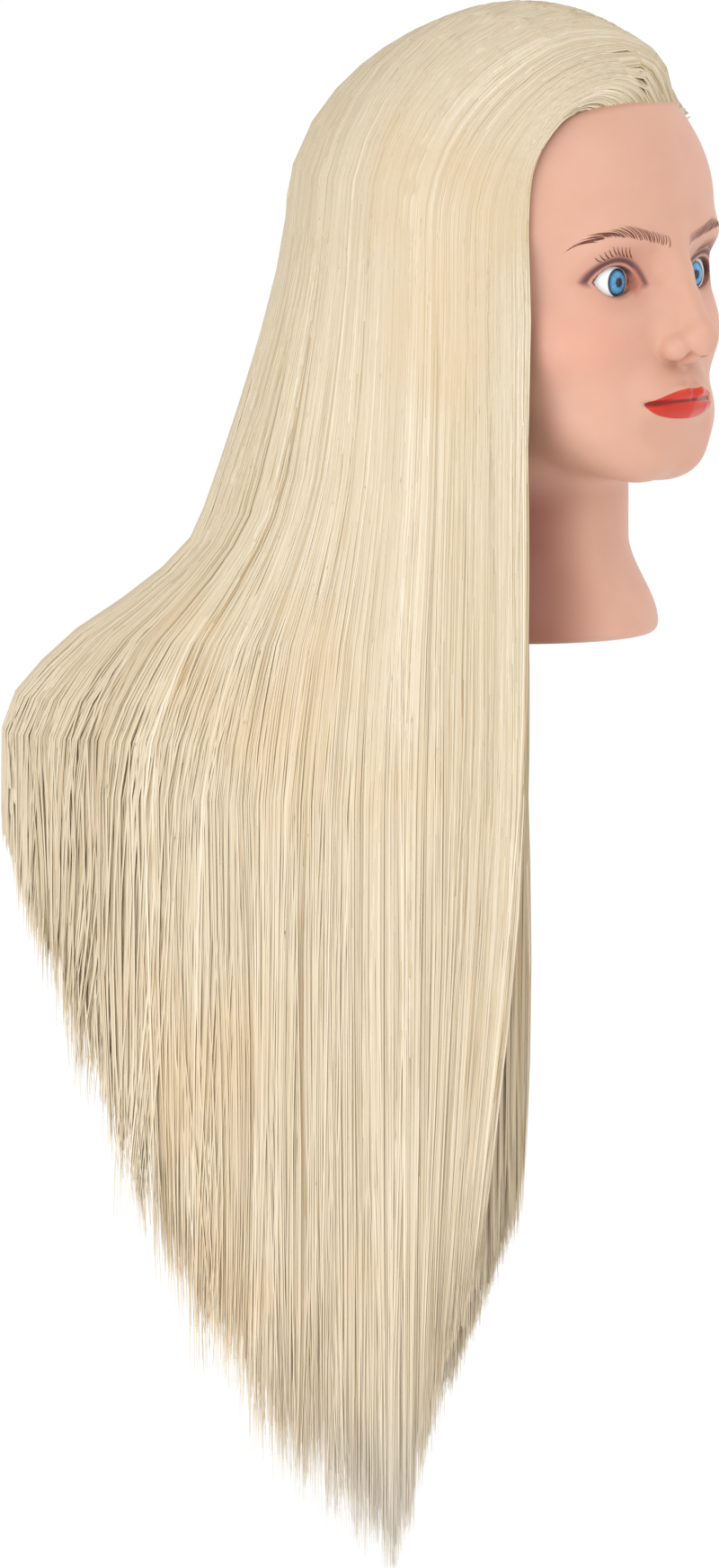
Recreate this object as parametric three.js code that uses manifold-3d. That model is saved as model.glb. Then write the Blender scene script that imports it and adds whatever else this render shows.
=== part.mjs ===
// Mannequin training head for hair salons: a hollow vinyl head and neck with rooted long hair.
// Millimetres, +Z up. The face looks along -Y, so the head's right side is at -X. The origin is
// the centre of the neck's base, and z = 0 is the plane that the base stands on.

import * as THREE from 'three';
import { mergeVertices } from 'three/addons/utils/BufferGeometryUtils.js';
import Module from 'manifold-3d';

const wasm = await Module();
wasm.setup();

// ---------------------------------------------------------------- driving dimensions

const SKULL = { centre: [0, -2, 205], radii: [76, 94, 93] };
const NECK_RADIUS = 52;
const BASE_RADIUS = 66.5;
const BASE_FLARE_HEIGHT = 48;
const BASE_CORNER = 5;
const SHELL_WALL = 3;
const LINING_WALL = 1.2;
const FIT_GAP = 0.35;
const SLIVER = 0.15;

const EYE_CENTRE = [31, -69.5, 178];
const EYE_RADIUS = 16;
const EYE_BACK = 8.5;
const EYE_YAW = 9;
const EYE_OPENING = { width: 25, height: 14 };

const SOCKET = { boreRadius: 13.5, tipRadius: 12, wall: 2.5, depth: 78, flangeRadius: 27, flange: 3 };
const BASE_PLATE = { thickness: 4, ribHeight: 6, ribRadius: 50, ribWall: 3, clearance: 2 };

// The hair: angles are measured from the front of the face round by the head's right side.
const CROWN_HEIGHT = 200;
const CROWN_ELEVATION = 78;
const HAIR_TOP_THICKNESS = 9;
const HAIR_SIDE_THICKNESS = 14;
const HAIR_BACK_THICKNESS = 16;
const SWEEP_ANGLE = 140;
const SWEEP_SPREAD = 34;
const SWEEP_UPPER = 52;
const SWEEP_LOWER = 84;
const FRONT_EDGE = 49;
const BACK_EDGE = 231;
const LEFT_TEMPLE = 318;
const HAIR_TIP = -452;
const TIP_OFFSET = 60;
const HOLLOW = [85, 92];
const SCALP_GAP = 2;

// ---------------------------------------------------------------- materials

const vinyl = new THREE.MeshStandardMaterial({ color: 0xeebb9c, roughness: 0.5, metalness: 0 });
const glue = new THREE.MeshStandardMaterial({ color: 0xd9d4c4, roughness: 0.6, metalness: 0 });
const foam = new THREE.MeshStandardMaterial({ color: 0xe9d9a8, roughness: 0.95, metalness: 0 });
const plastic = new THREE.MeshStandardMaterial({ color: 0x2b2b2e, roughness: 0.55, metalness: 0 });
const eyePlastic = new THREE.MeshStandardMaterial({ color: 0xf2f4f6, roughness: 0.12, metalness: 0 });
const hairFibre = new THREE.MeshStandardMaterial({ color: 0xe2d3b4, roughness: 0.4, metalness: 0 });

// ---------------------------------------------------------------- small tools

const radians = THREE.MathUtils.degToRad;
const smoothstep = THREE.MathUtils.smoothstep;
const lerp = THREE.MathUtils.lerp;

// Keeps only positions and merges shared corners, so that the surface is closed.
function closedSurface(geometry) {
  geometry.deleteAttribute('normal');
  geometry.deleteAttribute('uv');
  return mergeVertices(geometry, 1e-4);
}

// Six times the signed volume; it is negative when the faces point inwards.
function signedVolume(geometry) {
  const at = geometry.getAttribute('position');
  const index = geometry.getIndex();
  const [a, b, c] = [new THREE.Vector3(), new THREE.Vector3(), new THREE.Vector3()];
  let sum = 0;
  for (let i = 0; i < index.count; i += 3) {
    a.fromBufferAttribute(at, index.getX(i));
    b.fromBufferAttribute(at, index.getX(i + 1));
    c.fromBufferAttribute(at, index.getX(i + 2));
    sum += a.dot(b.cross(c));
  }
  return sum;
}

// Moves every corner of a closed surface with place(corner) and keeps the faces pointing out.
function reshape(geometry, place) {
  const solid = closedSurface(geometry);
  const at = solid.getAttribute('position');
  const corner = new THREE.Vector3();
  for (let i = 0; i < at.count; i += 1) {
    corner.fromBufferAttribute(at, i);
    const moved = place(corner);
    at.setXYZ(i, moved.x, moved.y, moved.z);
  }
  if (signedVolume(solid) < 0) {
    solid.setIndex(Array.from(solid.getIndex().array).reverse());
  }
  return solid;
}

function toSolid(geometry) {
  const closed = closedSurface(geometry);
  return new wasm.Manifold(new wasm.Mesh({
    numProp: 3,
    vertProperties: new Float32Array(closed.getAttribute('position').array),
    triVerts: new Uint32Array(closed.getIndex().array),
  }));
}

// Takes out slivers that cutting leaves, which are too thin to be worth keeping.
function toGeometry(solid) {
  const mesh = solid.simplify(SLIVER).getMesh();
  const geometry = new THREE.BufferGeometry();
  geometry.setAttribute('position', new THREE.BufferAttribute(mesh.vertProperties, 3));
  geometry.setIndex(new THREE.BufferAttribute(mesh.triVerts, 1));
  return geometry;
}

// ---------------------------------------------------------------- the head's shape

// Each mass is a rounded lump given by its centre and half-sizes; blend is how softly it joins.
const HEAD_MASSES = [
  { at: SKULL.centre, radii: SKULL.radii, blend: 1 },
  { at: [0, -30, 212], radii: [71, 67.5, 62], blend: 10 },
  { at: [0, -40, 152], radii: [62, 59, 62], blend: 16 },
  { at: [0, -46, 112], radii: [50, 52, 34], blend: 14 },
  { at: [0, -83, 93], radii: [19, 16, 14], blend: 12 },
  { at: [38, -70, 150], radii: [20, 22, 18], blend: 14 },
  { at: [0, -101, 158], radii: [8.5, 20, 20], blend: 9 },
  { at: [0, -112, 153.5], radii: [10, 10.5, 9], blend: 6 },
  { at: [11, -103, 149.5], radii: [6.5, 8, 6.5], blend: 5 },
  { at: [0, -95, 122], radii: [21, 11, 11], blend: 9 },
  { at: [0, -99.5, 124], radii: [15, 8.5, 4.6], blend: 4 },
  { at: [0, -98, 114.5], radii: [14, 8.5, 5], blend: 4 },
];
const EYE_HOLLOW = { at: [30, -99, 180], radii: [19, 11, 12], blend: 12 };
const EYELID = { at: EYE_CENTRE, radii: [18.5, 19, 17], blend: 6 };
const EAR = { at: [76.5, 9, 169], radii: [6, 16, 31], blend: 5 };

function lumpDistance(x, y, z, { at, radii }) {
  const p = [x - at[0], y - at[1], z - at[2]];
  const inner = Math.hypot(p[0] / radii[0], p[1] / radii[1], p[2] / radii[2]);
  const slope = Math.hypot(p[0] / radii[0] ** 2, p[1] / radii[1] ** 2, p[2] / radii[2] ** 2);
  return slope > 0 ? inner * (inner - 1) / slope : -Math.min(...radii);
}

function softUnion(a, b, blend) {
  const h = Math.max(blend - Math.abs(a - b), 0) / blend;
  return Math.min(a, b) - h * h * blend / 4;
}

function neckRadiusAt(z) {
  const flare = 1 - smoothstep(z, BASE_CORNER, BASE_FLARE_HEIGHT);
  const corner = Math.max(BASE_CORNER - Math.max(z, 0), 0);
  const rounding = BASE_CORNER - Math.sqrt(BASE_CORNER ** 2 - corner ** 2);
  return NECK_RADIUS + (BASE_RADIUS - NECK_RADIUS) * flare - rounding;
}

// Signed distance to the head's skin: negative inside. The head is the same on both sides.
function headDistance(x, y, z) {
  const side = Math.abs(x);
  let d = lumpDistance(side, y, z, HEAD_MASSES[0]);
  for (const mass of HEAD_MASSES.slice(1)) {
    d = softUnion(d, lumpDistance(side, y, z, mass), mass.blend);
  }
  d = -softUnion(-d, lumpDistance(side, y, z, EYE_HOLLOW), EYE_HOLLOW.blend);
  d = softUnion(d, lumpDistance(side, y, z, EYELID), EYELID.blend);
  d = softUnion(d, lumpDistance(side, y, z, EAR), EAR.blend);
  const neck = Math.max(Math.hypot(x, y) - neckRadiusAt(z), z - 150);
  return softUnion(d, neck, 10);
}

const REACH_START = 190;
const REACH_STEPS = 160;

// Distance from a point inside the head, along a direction, to the surface at an offset
// from the skin. It looks from the outside inwards, so it finds the outermost surface.
function reach(origin, direction, offset) {
  let distance = REACH_START;
  for (let i = 0; i < REACH_STEPS; i += 1) {
    const at = origin.clone().addScaledVector(direction, distance);
    const away = headDistance(at.x, at.y, at.z) - offset;
    if (away < 1e-3) break;
    distance -= Math.min(away * 0.6, 4);
  }
  return distance;
}

function directionOf(angle, elevation) {
  const level = Math.cos(radians(elevation));
  return new THREE.Vector3(
    -Math.sin(radians(angle)) * level,
    -Math.cos(radians(angle)) * level,
    Math.sin(radians(elevation)),
  );
}

// The skin is sampled along rays that fan out from the middle of the skull, tilt down under the
// chin and then run level down the neck. Along a pole of the sampling ball, SKULL_SHARE of the
// rows belong to the head, the next rows to the neck, and the last rows close the flat base.
const SKULL_SHARE = 0.64;
const NECK_SHARE = 0.9;
const CHIN_TILT = -46;
const CHIN_ORIGIN = 124;

function skinPoint(angle, share, offset) {
  let elevation = 0;
  let originHeight = 0;
  if (share < SKULL_SHARE) {
    const s = (share / SKULL_SHARE) ** ROW_CROWDING;
    elevation = lerp(90, CHIN_TILT, s);
    originHeight = lerp(SKULL.centre[2], CHIN_ORIGIN, s);
  } else if (share < NECK_SHARE - 1e-6) {
    const s = (share - SKULL_SHARE) / (NECK_SHARE - SKULL_SHARE);
    elevation = CHIN_TILT * (1 - s) ** 2;
    originHeight = lerp(CHIN_ORIGIN, 0, s);
  }
  const origin = new THREE.Vector3(0, 0, originHeight);
  const direction = directionOf(angle, elevation);
  let distance = reach(origin, direction, offset);
  if (share > NECK_SHARE + 1e-6) distance *= Math.max((1 - share) / (1 - NECK_SHARE), 0);
  return origin.addScaledVector(direction, distance);
}

// Columns and rows of the sampling ball. Nested surfaces share one grid, so they never cross,
// and the rows are a multiple of ten, so that one row lies exactly on the base's rim. Columns
// and rows crowd together at the face.
const SKIN_GRID = [48, 50];
const INNER_GRID = [24, 20];
const FACE_CROWDING = 0.6;
const ROW_CROWDING = 0.72;

// A closed solid of the head and neck, at an offset from the skin, with its base at z = 0.
function headSolid(offset, [columns, rows]) {
  const ball = new THREE.SphereGeometry(1, columns, rows);
  return reshape(ball, (corner) => {
    const share = Math.acos(THREE.MathUtils.clamp(corner.y, -1, 1)) / Math.PI;
    const turn = Math.atan2(corner.x, corner.z);
    const angle = THREE.MathUtils.radToDeg(turn - FACE_CROWDING * Math.sin(turn));
    return skinPoint(angle, share, offset);
  });
}

// ---------------------------------------------------------------- shell, lining and core

// Places a shape made round the eye's centre: turned a little outwards, at one side of the face.
function atEye(geometry, side) {
  geometry.rotateZ(radians(side * EYE_YAW));
  return geometry.translate(side * EYE_CENTRE[0], EYE_CENTRE[1], EYE_CENTRE[2]);
}

// The almond outline of the lids' opening as a prism along Y, from behind the eye outwards.
// It is made smaller all round by inset.
function eyeOpening(side, inset) {
  const half = EYE_OPENING.width / 2 - 1.5 * inset;
  const bow = EYE_OPENING.height - 2 * inset;
  const almond = new THREE.Shape();
  almond.moveTo(-half, 0);
  almond.quadraticCurveTo(0, bow, half, 0);
  almond.quadraticCurveTo(0, -bow, -half, 0);
  const options = { depth: 40, bevelEnabled: false, curveSegments: 6 };
  const prism = new THREE.ExtrudeGeometry(almond, options);
  prism.rotateX(Math.PI / 2);
  prism.translate(0, -EYE_BACK, 0);
  return atEye(prism, side);
}

function headShell() {
  const inside = toSolid(headSolid(-SHELL_WALL, INNER_GRID));
  let shell = toSolid(headSolid(0, SKIN_GRID)).subtract(inside);
  for (const side of [-1, 1]) {
    shell = shell.subtract(toSolid(eyeOpening(side, 0)));
  }
  return toGeometry(largestPiece(shell));
}

function largestPiece(solid) {
  const pieces = solid.decompose();
  pieces.sort((a, b) => b.volume() - a.volume());
  return pieces[0];
}

// The part of space behind a slope from the front hairline down to the nape. The fibres are
// punched through the vinyl there.
function scalpRegion() {
  const reachOfRegion = 300;
  const region = new THREE.BoxGeometry(reachOfRegion, reachOfRegion, reachOfRegion);
  region.translate(0, 0, reachOfRegion / 2);
  region.rotateX(radians(-50));
  return region.translate(0, -10, 178);
}

function rootLining() {
  const outside = toSolid(headSolid(-SHELL_WALL - FIT_GAP, INNER_GRID));
  const inside = toSolid(headSolid(-SHELL_WALL - FIT_GAP - LINING_WALL, INNER_GRID));
  return toGeometry(largestPiece(outside.subtract(inside).intersect(toSolid(scalpRegion()))));
}

function foamCore() {
  const depth = SHELL_WALL + LINING_WALL + 2.5 * FIT_GAP;
  const floor = BASE_PLATE.thickness + BASE_PLATE.ribHeight + FIT_GAP;
  const plateRoom = new THREE.BoxGeometry(300, 300, 2 * floor);
  let core = toSolid(headSolid(-depth, INNER_GRID)).subtract(toSolid(plateRoom));
  core = core.subtract(toSolid(socketEnvelope()));
  for (const side of [-1, 1]) {
    core = core.subtract(toSolid(eyeOpening(side, 0)));
  }
  return toGeometry(largestPiece(core));
}

// ---------------------------------------------------------------- eyes

// A shallow dome with the lids' outline, domed in front and flat at the back.
function eyeInsert(side) {
  const ball = atEye(new THREE.SphereGeometry(EYE_RADIUS, 24, 18), side);
  const front = eyeOpening(side, FIT_GAP).translate(0, -FIT_GAP, 0);
  return toGeometry(toSolid(ball).intersect(toSolid(front)));
}

// ---------------------------------------------------------------- neck base

function latheSolid(points, segments) {
  const profile = points.map(([r, z]) => new THREE.Vector2(r, z));
  const solid = new THREE.LatheGeometry(profile, segments).rotateX(Math.PI / 2);
  return reshape(solid, (corner) => corner);
}

// Tapered blind tube that takes the post of a clamp or tripod, with a flange at its mouth.
function neckSocket() {
  const { boreRadius, tipRadius, wall, depth, flangeRadius, flange } = SOCKET;
  return latheSolid([
    [0, depth], [tipRadius, depth], [boreRadius, 0], [boreRadius + wall, 0],
    [boreRadius + wall, BASE_PLATE.thickness + FIT_GAP],
    [flangeRadius, BASE_PLATE.thickness + FIT_GAP],
    [flangeRadius, BASE_PLATE.thickness + FIT_GAP + flange],
    [boreRadius + wall, BASE_PLATE.thickness + FIT_GAP + flange],
    [tipRadius + wall, depth + wall], [0, depth + wall],
  ], 24);
}

// The space that the socket takes out of the foam.
function socketEnvelope() {
  const { boreRadius, tipRadius, wall, depth, flangeRadius } = SOCKET;
  return latheSolid([
    [0, -1], [flangeRadius + FIT_GAP, -1],
    [flangeRadius + FIT_GAP, BASE_PLATE.thickness + BASE_PLATE.ribHeight + 1],
    [boreRadius + wall + FIT_GAP, BASE_PLATE.thickness + BASE_PLATE.ribHeight + 1],
    [tipRadius + wall + FIT_GAP, depth + wall + FIT_GAP], [0, depth + wall + FIT_GAP],
  ], 24);
}

// Round plate that closes the neck, flush with the shell's rim, with a stiffening rib on top.
function basePlate() {
  const innerRadius = SOCKET.boreRadius + SOCKET.wall + FIT_GAP;
  const { thickness, ribHeight, ribRadius, ribWall, clearance } = BASE_PLATE;
  const outerRadius = neckRadiusAt(0) - SHELL_WALL - clearance;
  return latheSolid([
    [innerRadius, 0], [outerRadius, 0], [outerRadius, thickness],
    [ribRadius, thickness], [ribRadius, thickness + ribHeight - FIT_GAP],
    [ribRadius - ribWall, thickness + ribHeight - FIT_GAP], [ribRadius - ribWall, thickness],
    [innerRadius, thickness], [innerRadius, 0],
  ], 36);
}

// ---------------------------------------------------------------- hair

// How strongly the hair is swept out at an angle: 1 in the middle of the sweep, 0 far from it.
function sweep(angle) {
  const turn = (angle - SWEEP_ANGLE) / SWEEP_SPREAD;
  return (1 + turn * turn) ** -1.5;
}

function hairThickness(angle, elevation) {
  const low = HAIR_SIDE_THICKNESS + HAIR_BACK_THICKNESS * sweep(angle);
  return lerp(HAIR_TOP_THICKNESS, low, smoothstep(90 - elevation, 15, 90));
}

const CROWN_ORIGIN = new THREE.Vector3(0, 0, CROWN_HEIGHT);

function capRadius(angle, elevation, offset) {
  return reach(CROWN_ORIGIN, directionOf(angle, elevation), offset);
}

// Outer radius of the hanging hair: it spreads a little down to the neck, then fans out.
function hangingRadius(angle, z) {
  const upper = SWEEP_UPPER * (CROWN_HEIGHT - Math.max(z, 40)) / (CROWN_HEIGHT - 40);
  const lower = SWEEP_LOWER * (1 - smoothstep(z, -45, 40));
  return capRadius(angle, 0, hairThickness(angle, 0)) + sweep(angle) * (upper + lower);
}

function ellipseRadius(angle, [a, b]) {
  const [s, c] = [Math.sin(radians(angle)), Math.cos(radians(angle))];
  return 1 / Math.hypot(s / a, c / b);
}

// Inner radius of the hanging hair, which leaves room for the ears and the neck.
function hollowRadius(angle, z) {
  const skin = capRadius(angle, 0, SCALP_GAP);
  const open = Math.max(ellipseRadius(angle, HOLLOW), skin);
  return lerp(skin, open, smoothstep(CROWN_HEIGHT - z, 0, 10));
}

// Height of the cut ends. The hair comes to a point, TIP_OFFSET away from the neck's axis.
function hairEnd(angle, radius) {
  const outward = radius * Math.cos(radians(angle - SWEEP_ANGLE));
  const beyond = (outward - TIP_OFFSET) / 190;
  if (beyond > 0) return HAIR_TIP + 340 * beyond ** 1.45;
  return HAIR_TIP + Math.min(-beyond * 475, 165);
}

// Turns the ends of a section inwards by half the gap between two sections.
function gapAngle(radius) {
  return THREE.MathUtils.radToDeg(0.2 / Math.max(radius, 5));
}

function polar(angle, radius, z) {
  return new THREE.Vector3(
    -Math.sin(radians(angle)) * radius,
    -Math.cos(radians(angle)) * radius,
    z,
  );
}

// A box bent into a section of hair. In the box, x runs round the head, y through the
// thickness and z down the section, each from 0 to 1.
function bentSection(steps, place) {
  const box = new THREE.BoxGeometry(1, 1, 1, steps[0], 1, steps[1]);
  return reshape(box, (corner) => place(corner.x + 0.5, corner.y + 0.5, corner.z + 0.5));
}

function capPoint(from, to, x, y, elevation, thickness) {
  const middle = lerp(from, to, x);
  const offset = y < 0.5 ? SCALP_GAP : thickness ?? hairThickness(middle, elevation);
  const rim = capRadius(middle, elevation, offset) * Math.cos(radians(elevation));
  const angle = lerp(from + gapAngle(rim), to - gapAngle(rim), x);
  const direction = directionOf(angle, elevation);
  return CROWN_ORIGIN.clone().addScaledVector(direction, capRadius(angle, elevation, offset));
}

// A section that lies over the skull from the crown and then hangs down to its cut ends.
function hangingSection(from, to) {
  const capShare = 1 / 3;
  return bentSection([3, 18], (x, y, t) => {
    if (t < capShare) {
      const elevation = lerp(CROWN_ELEVATION, 0, t / capShare);
      return capPoint(from, to, x, y, elevation);
    }
    const s = (t - capShare) / (1 - capShare);
    const middle = lerp(from, to, x);
    const radiusAt = (z) => (y < 0.5 ? hollowRadius(middle, z) : hangingRadius(middle, z));
    const end = hairEnd(middle, radiusAt(-100));
    const z = lerp(CROWN_HEIGHT, end, s ** 1.5);
    const radius = radiusAt(z);
    const angle = lerp(from + gapAngle(radius), to - gapAngle(radius), x);
    return polar(angle, radius, z);
  });
}

// Elevation of the hairline seen from the crown's origin, from the forehead round to the nape.
function hairlineElevation(angle) {
  const turn = angle > 180 ? 360 - angle : angle;
  const front = lerp(38, 36, smoothstep(turn, 0, 45));
  const temple = lerp(0, -28, smoothstep(turn, 45, 78));
  const nape = lerp(0, -42, smoothstep(turn, 104, 124));
  return front + temple + nape;
}

// A section combed over the skull that ends at the hairline.
function cappedSection(from, to, edgeThickness) {
  return bentSection([5, 8], (x, y, t) => {
    const middle = lerp(from, to, x);
    const elevation = lerp(CROWN_ELEVATION, hairlineElevation(middle), t);
    const full = hairThickness(middle, elevation);
    return capPoint(from, to, x, y, elevation, lerp(full, edgeThickness, t ** 3));
  });
}

// The whorl where all the sections meet, a round cap from the crown's top down to the sections.
function crownWhorl() {
  const disc = new THREE.CylinderGeometry(1, 1, 1, 24, 1);
  return reshape(disc, (corner) => {
    const share = Math.hypot(corner.x, corner.z);
    const elevation = lerp(90, CROWN_ELEVATION + 0.3, share);
    const angle = THREE.MathUtils.radToDeg(Math.atan2(corner.x, corner.z));
    const offset = corner.y < 0 ? SCALP_GAP : hairThickness(angle, elevation);
    const direction = directionOf(angle, elevation);
    return CROWN_ORIGIN.clone().addScaledVector(direction, capRadius(angle, elevation, offset));
  });
}

// The under layer that grows from the nape, between the neck and the outer hair.
function napeSection(from, to) {
  const top = 122;
  const innerRadius = 70;
  return bentSection([3, 6], (x, y, t) => {
    const middle = lerp(from, to, x);
    const outerRadius = Math.min(hollowRadius(middle, 0) - 1, 88);
    const radius = y < 0.5 ? innerRadius : outerRadius;
    const z = lerp(top, Math.max(hairEnd(middle, radius) + 30, -400), t);
    const angle = lerp(from + gapAngle(radius), to - gapAngle(radius), x);
    return polar(angle, radius, z);
  });
}

// ---------------------------------------------------------------- the assembly

const head = new THREE.Group();

function addPiece(name, geometry, material) {
  const mesh = new THREE.Mesh(geometry, material);
  mesh.name = name;
  head.add(mesh);
}

addPiece('head_shell', headShell(), vinyl);
addPiece('root_lock_lining', rootLining(), glue);
addPiece('foam_core', foamCore(), foam);
addPiece('neck_socket', neckSocket(), plastic);
addPiece('neck_base_plate', basePlate(), plastic);
addPiece('eye_right', eyeInsert(-1), eyePlastic);
addPiece('eye_left', eyeInsert(1), eyePlastic);

addPiece('hair_crown', crownWhorl(), hairFibre);
addPiece('hair_top_right', cappedSection(0, FRONT_EDGE, 5), hairFibre);
addPiece('hair_top_left', cappedSection(LEFT_TEMPLE, 360, 5), hairFibre);
addPiece('hair_left_temple', cappedSection(275, LEFT_TEMPLE, 4), hairFibre);
addPiece('hair_left_side', cappedSection(BACK_EDGE, 275, 6), hairFibre);

const HANGING = [
  'hair_right_temple', 'hair_right_side', 'hair_right_rear', 'hair_back_right',
  'hair_back_centre', 'hair_back_left', 'hair_left_rear',
];
HANGING.forEach((name, i) => {
  const width = (BACK_EDGE - FRONT_EDGE) / HANGING.length;
  const from = FRONT_EDGE + i * width;
  addPiece(name, hangingSection(from, from + width), hairFibre);
});

const NAPE = ['hair_nape_right', 'hair_nape_centre', 'hair_nape_left'];
NAPE.forEach((name, i) => {
  const start = 118;
  const width = (BACK_EDGE - start) / NAPE.length;
  addPiece(name, napeSection(start + i * width, start + (i + 1) * width), hairFibre);
});

export default head;
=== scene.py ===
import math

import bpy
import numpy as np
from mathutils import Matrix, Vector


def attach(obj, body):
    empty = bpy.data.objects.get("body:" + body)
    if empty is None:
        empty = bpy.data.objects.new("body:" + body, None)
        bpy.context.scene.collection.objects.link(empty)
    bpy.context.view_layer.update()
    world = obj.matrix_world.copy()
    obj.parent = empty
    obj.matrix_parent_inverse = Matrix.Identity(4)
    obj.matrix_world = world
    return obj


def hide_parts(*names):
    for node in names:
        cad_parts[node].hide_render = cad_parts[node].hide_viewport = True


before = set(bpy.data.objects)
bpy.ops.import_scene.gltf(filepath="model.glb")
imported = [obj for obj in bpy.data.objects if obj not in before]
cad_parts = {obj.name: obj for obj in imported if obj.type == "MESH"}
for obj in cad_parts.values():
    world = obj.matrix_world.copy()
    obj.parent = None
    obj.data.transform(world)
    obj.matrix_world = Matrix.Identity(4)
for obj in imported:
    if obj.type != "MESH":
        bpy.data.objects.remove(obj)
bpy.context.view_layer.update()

# The looks of a mannequin training head: a vinyl head with painted make-up and long rooted hair.
# Lengths are millimetres in the CAD's frame until a mesh is made. The face looks along -Y, the
# head's right side is at -X, and z = 0 is the base of the neck. Angles round the head start at
# the face and turn by the right side: 0 is the face, 90 the right side and 180 the back.

MM = 0.001
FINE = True
rng = np.random.default_rng(26)

# ---------------------------------------------------------------- view

# The camera stands off the head's right front. AIM_ACROSS and AIM_UP give the middle of its view,
# in the camera's own axes.
VIEW_TURN = math.radians(50)
VIEW_RISE = math.radians(6.3)
VIEW_DISTANCE = 11000.0
VIEW_HEIGHT = 762.0
AIM_ACROSS = -78.7
AIM_UP = -74.3
SENSOR = 36.0

# ---------------------------------------------------------------- head and hair sizes

NECK_RADIUS = 52.0
BASE_RADIUS = 66.5
BASE_FLARE_HEIGHT = 48.0
BASE_CORNER = 5.0
BASE_RECESS = (59.5, 12.0)
SOCKET_RECESS = (17.0, 84.0)
FOAM_DEPTH = 7.5
LINING_DEPTH = 4.5
LINING_WALL = 1.2
# The rooted scalp lies behind a leaning plane, through a point given by its y and z.
SCALP_SLOPE = math.radians(50)
SCALP_PLACE = (-10.0, 178.0)

EYE_CENTRE = np.array([29.5, -69.5, 176.8])
EYE_RADIUS = 16.0
EYE_YAW = math.radians(9)
EYE_TILT = math.radians(3)
EYE_FORWARD = np.array([math.sin(EYE_YAW), -math.cos(EYE_YAW), 0.0], dtype=np.float32)
EYE_ACROSS = np.array([math.cos(EYE_YAW) * math.cos(EYE_TILT),
                       math.sin(EYE_YAW) * math.cos(EYE_TILT), math.sin(EYE_TILT)], dtype=np.float32)
EYE_UP = np.cross(EYE_FORWARD, EYE_ACROSS)
EYE_HALF_WIDTH = 12.5
UPPER_LID_RISE = 7.6
LOWER_LID_DROP = 6.4
# The lids' opening runs back to the seat of the eye, and widens from the lids' depth forwards.
EYE_SEAT = 7.0
LID_DEPTH = 14.0
LID_SLANT = 0.3
IRIS_RADIUS = 6.9
PUPIL_RADIUS = 2.2
LIP_HALF_WIDTH = 25.0
LIP_TOP = 118.4
LIP_BOTTOM = 118.2
LIP_BACK = -80.0

CROWN = np.array([0.0, 0.0, 200.0])
HAIR_TOP_THICKNESS = 9.0
HAIR_EDGE_THICKNESS = 3.0
HAIR_SIDE_THICKNESS = 14.0
HAIR_BACK_THICKNESS = 16.0
SWEEP_ANGLE = 140.0
SWEEP_SPREAD = 34.0
SWEEP_UPPER = 62.0
SWEEP_LOWER = 76.0
FRONT_EDGE = 49.0
BACK_EDGE = 231.0
GATHER_ANGLE = 82.0
HAIR_TIP = -452.0
TIP_OFFSET = 60.0


# ---------------------------------------------------------------- small tools

def lerp(a, b, t):
    return a + (b - a) * t


def smoothstep(value, low, high):
    t = np.clip((value - low) / (high - low), 0.0, 1.0)
    return t * t * (3.0 - 2.0 * t)


def unit(vectors):
    return vectors / np.maximum(np.linalg.norm(vectors, axis=-1, keepdims=True), 1e-9)


def direction_of(angle, elevation):
    a, e = np.radians(angle), np.radians(elevation)
    return np.stack([-np.sin(a) * np.cos(e), -np.cos(a) * np.cos(e), np.sin(e)], axis=-1)


def angles_of(directions):
    """The angle round the head and the elevation, in degrees, of unit vectors."""
    angle = np.degrees(np.arctan2(-directions[..., 0], -directions[..., 1])) % 360.0
    return angle, np.degrees(np.arcsin(np.clip(directions[..., 2], -1.0, 1.0)))


def round_axis(angle, radius, z):
    """Points at an angle, a distance from the neck's axis and a height."""
    a = np.radians(angle)
    return np.stack([-np.sin(a) * radius, -np.cos(a) * radius, z], axis=-1)


def one_side(points):
    """A copy of the points, all moved to the head's left side, since both sides are alike."""
    p = np.array(points, dtype=np.float32)
    p[..., 0] = np.abs(p[..., 0])
    return p


def grid_faces(columns, rows, closed=False):
    """Faces of a sheet whose points are numbered down each column; closed joins its two sides."""
    i = np.arange(columns if closed else columns - 1)[:, None]
    j = np.arange(rows - 1)[None, :]
    k = (i + 1) % columns
    corners = [i * rows + j, i * rows + j + 1, k * rows + j + 1, k * rows + j]
    return np.stack(corners, axis=-1).reshape(-1, 4)


def add_mesh(name, points, faces, material, uv=None, fields=None, normals=None):
    """A smooth mesh from points in millimetres and faces that all have the same number of sides.

    uv holds one pair for each point, fields holds named values for each point, and normals
    holds the directions that the faces' corners are shaded with.
    """
    points = np.asarray(points, dtype=np.float32)
    faces = np.asarray(faces, dtype=np.int32)
    sides = faces.shape[1]
    mesh = bpy.data.meshes.new(name)
    mesh.vertices.add(len(points))
    mesh.vertices.foreach_set("co", (points * MM).ravel())
    mesh.loops.add(faces.size)
    mesh.loops.foreach_set("vertex_index", faces.ravel())
    mesh.polygons.add(len(faces))
    mesh.polygons.foreach_set("loop_start", np.arange(len(faces), dtype=np.int32) * sides)
    mesh.polygons.foreach_set("use_smooth", np.ones(len(faces), dtype=bool))
    if uv is not None:
        layer = mesh.uv_layers.new(name="OFBake")
        layer.data.foreach_set("uv", uv[faces.ravel()].astype(np.float32).ravel())
    for field, values in (fields or {}).items():
        attribute = mesh.attributes.new(field, "FLOAT", "POINT")
        attribute.data.foreach_set("value", np.asarray(values, dtype=np.float32).ravel())
    mesh.update(calc_edges=True)
    if normals is not None:
        mesh.normals_split_custom_set(normals.reshape(-1, 3).tolist())
    mesh.materials.append(material)
    piece = bpy.data.objects.new(name, mesh)
    bpy.context.scene.collection.objects.link(piece)
    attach(piece, "root")
    return piece


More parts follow.
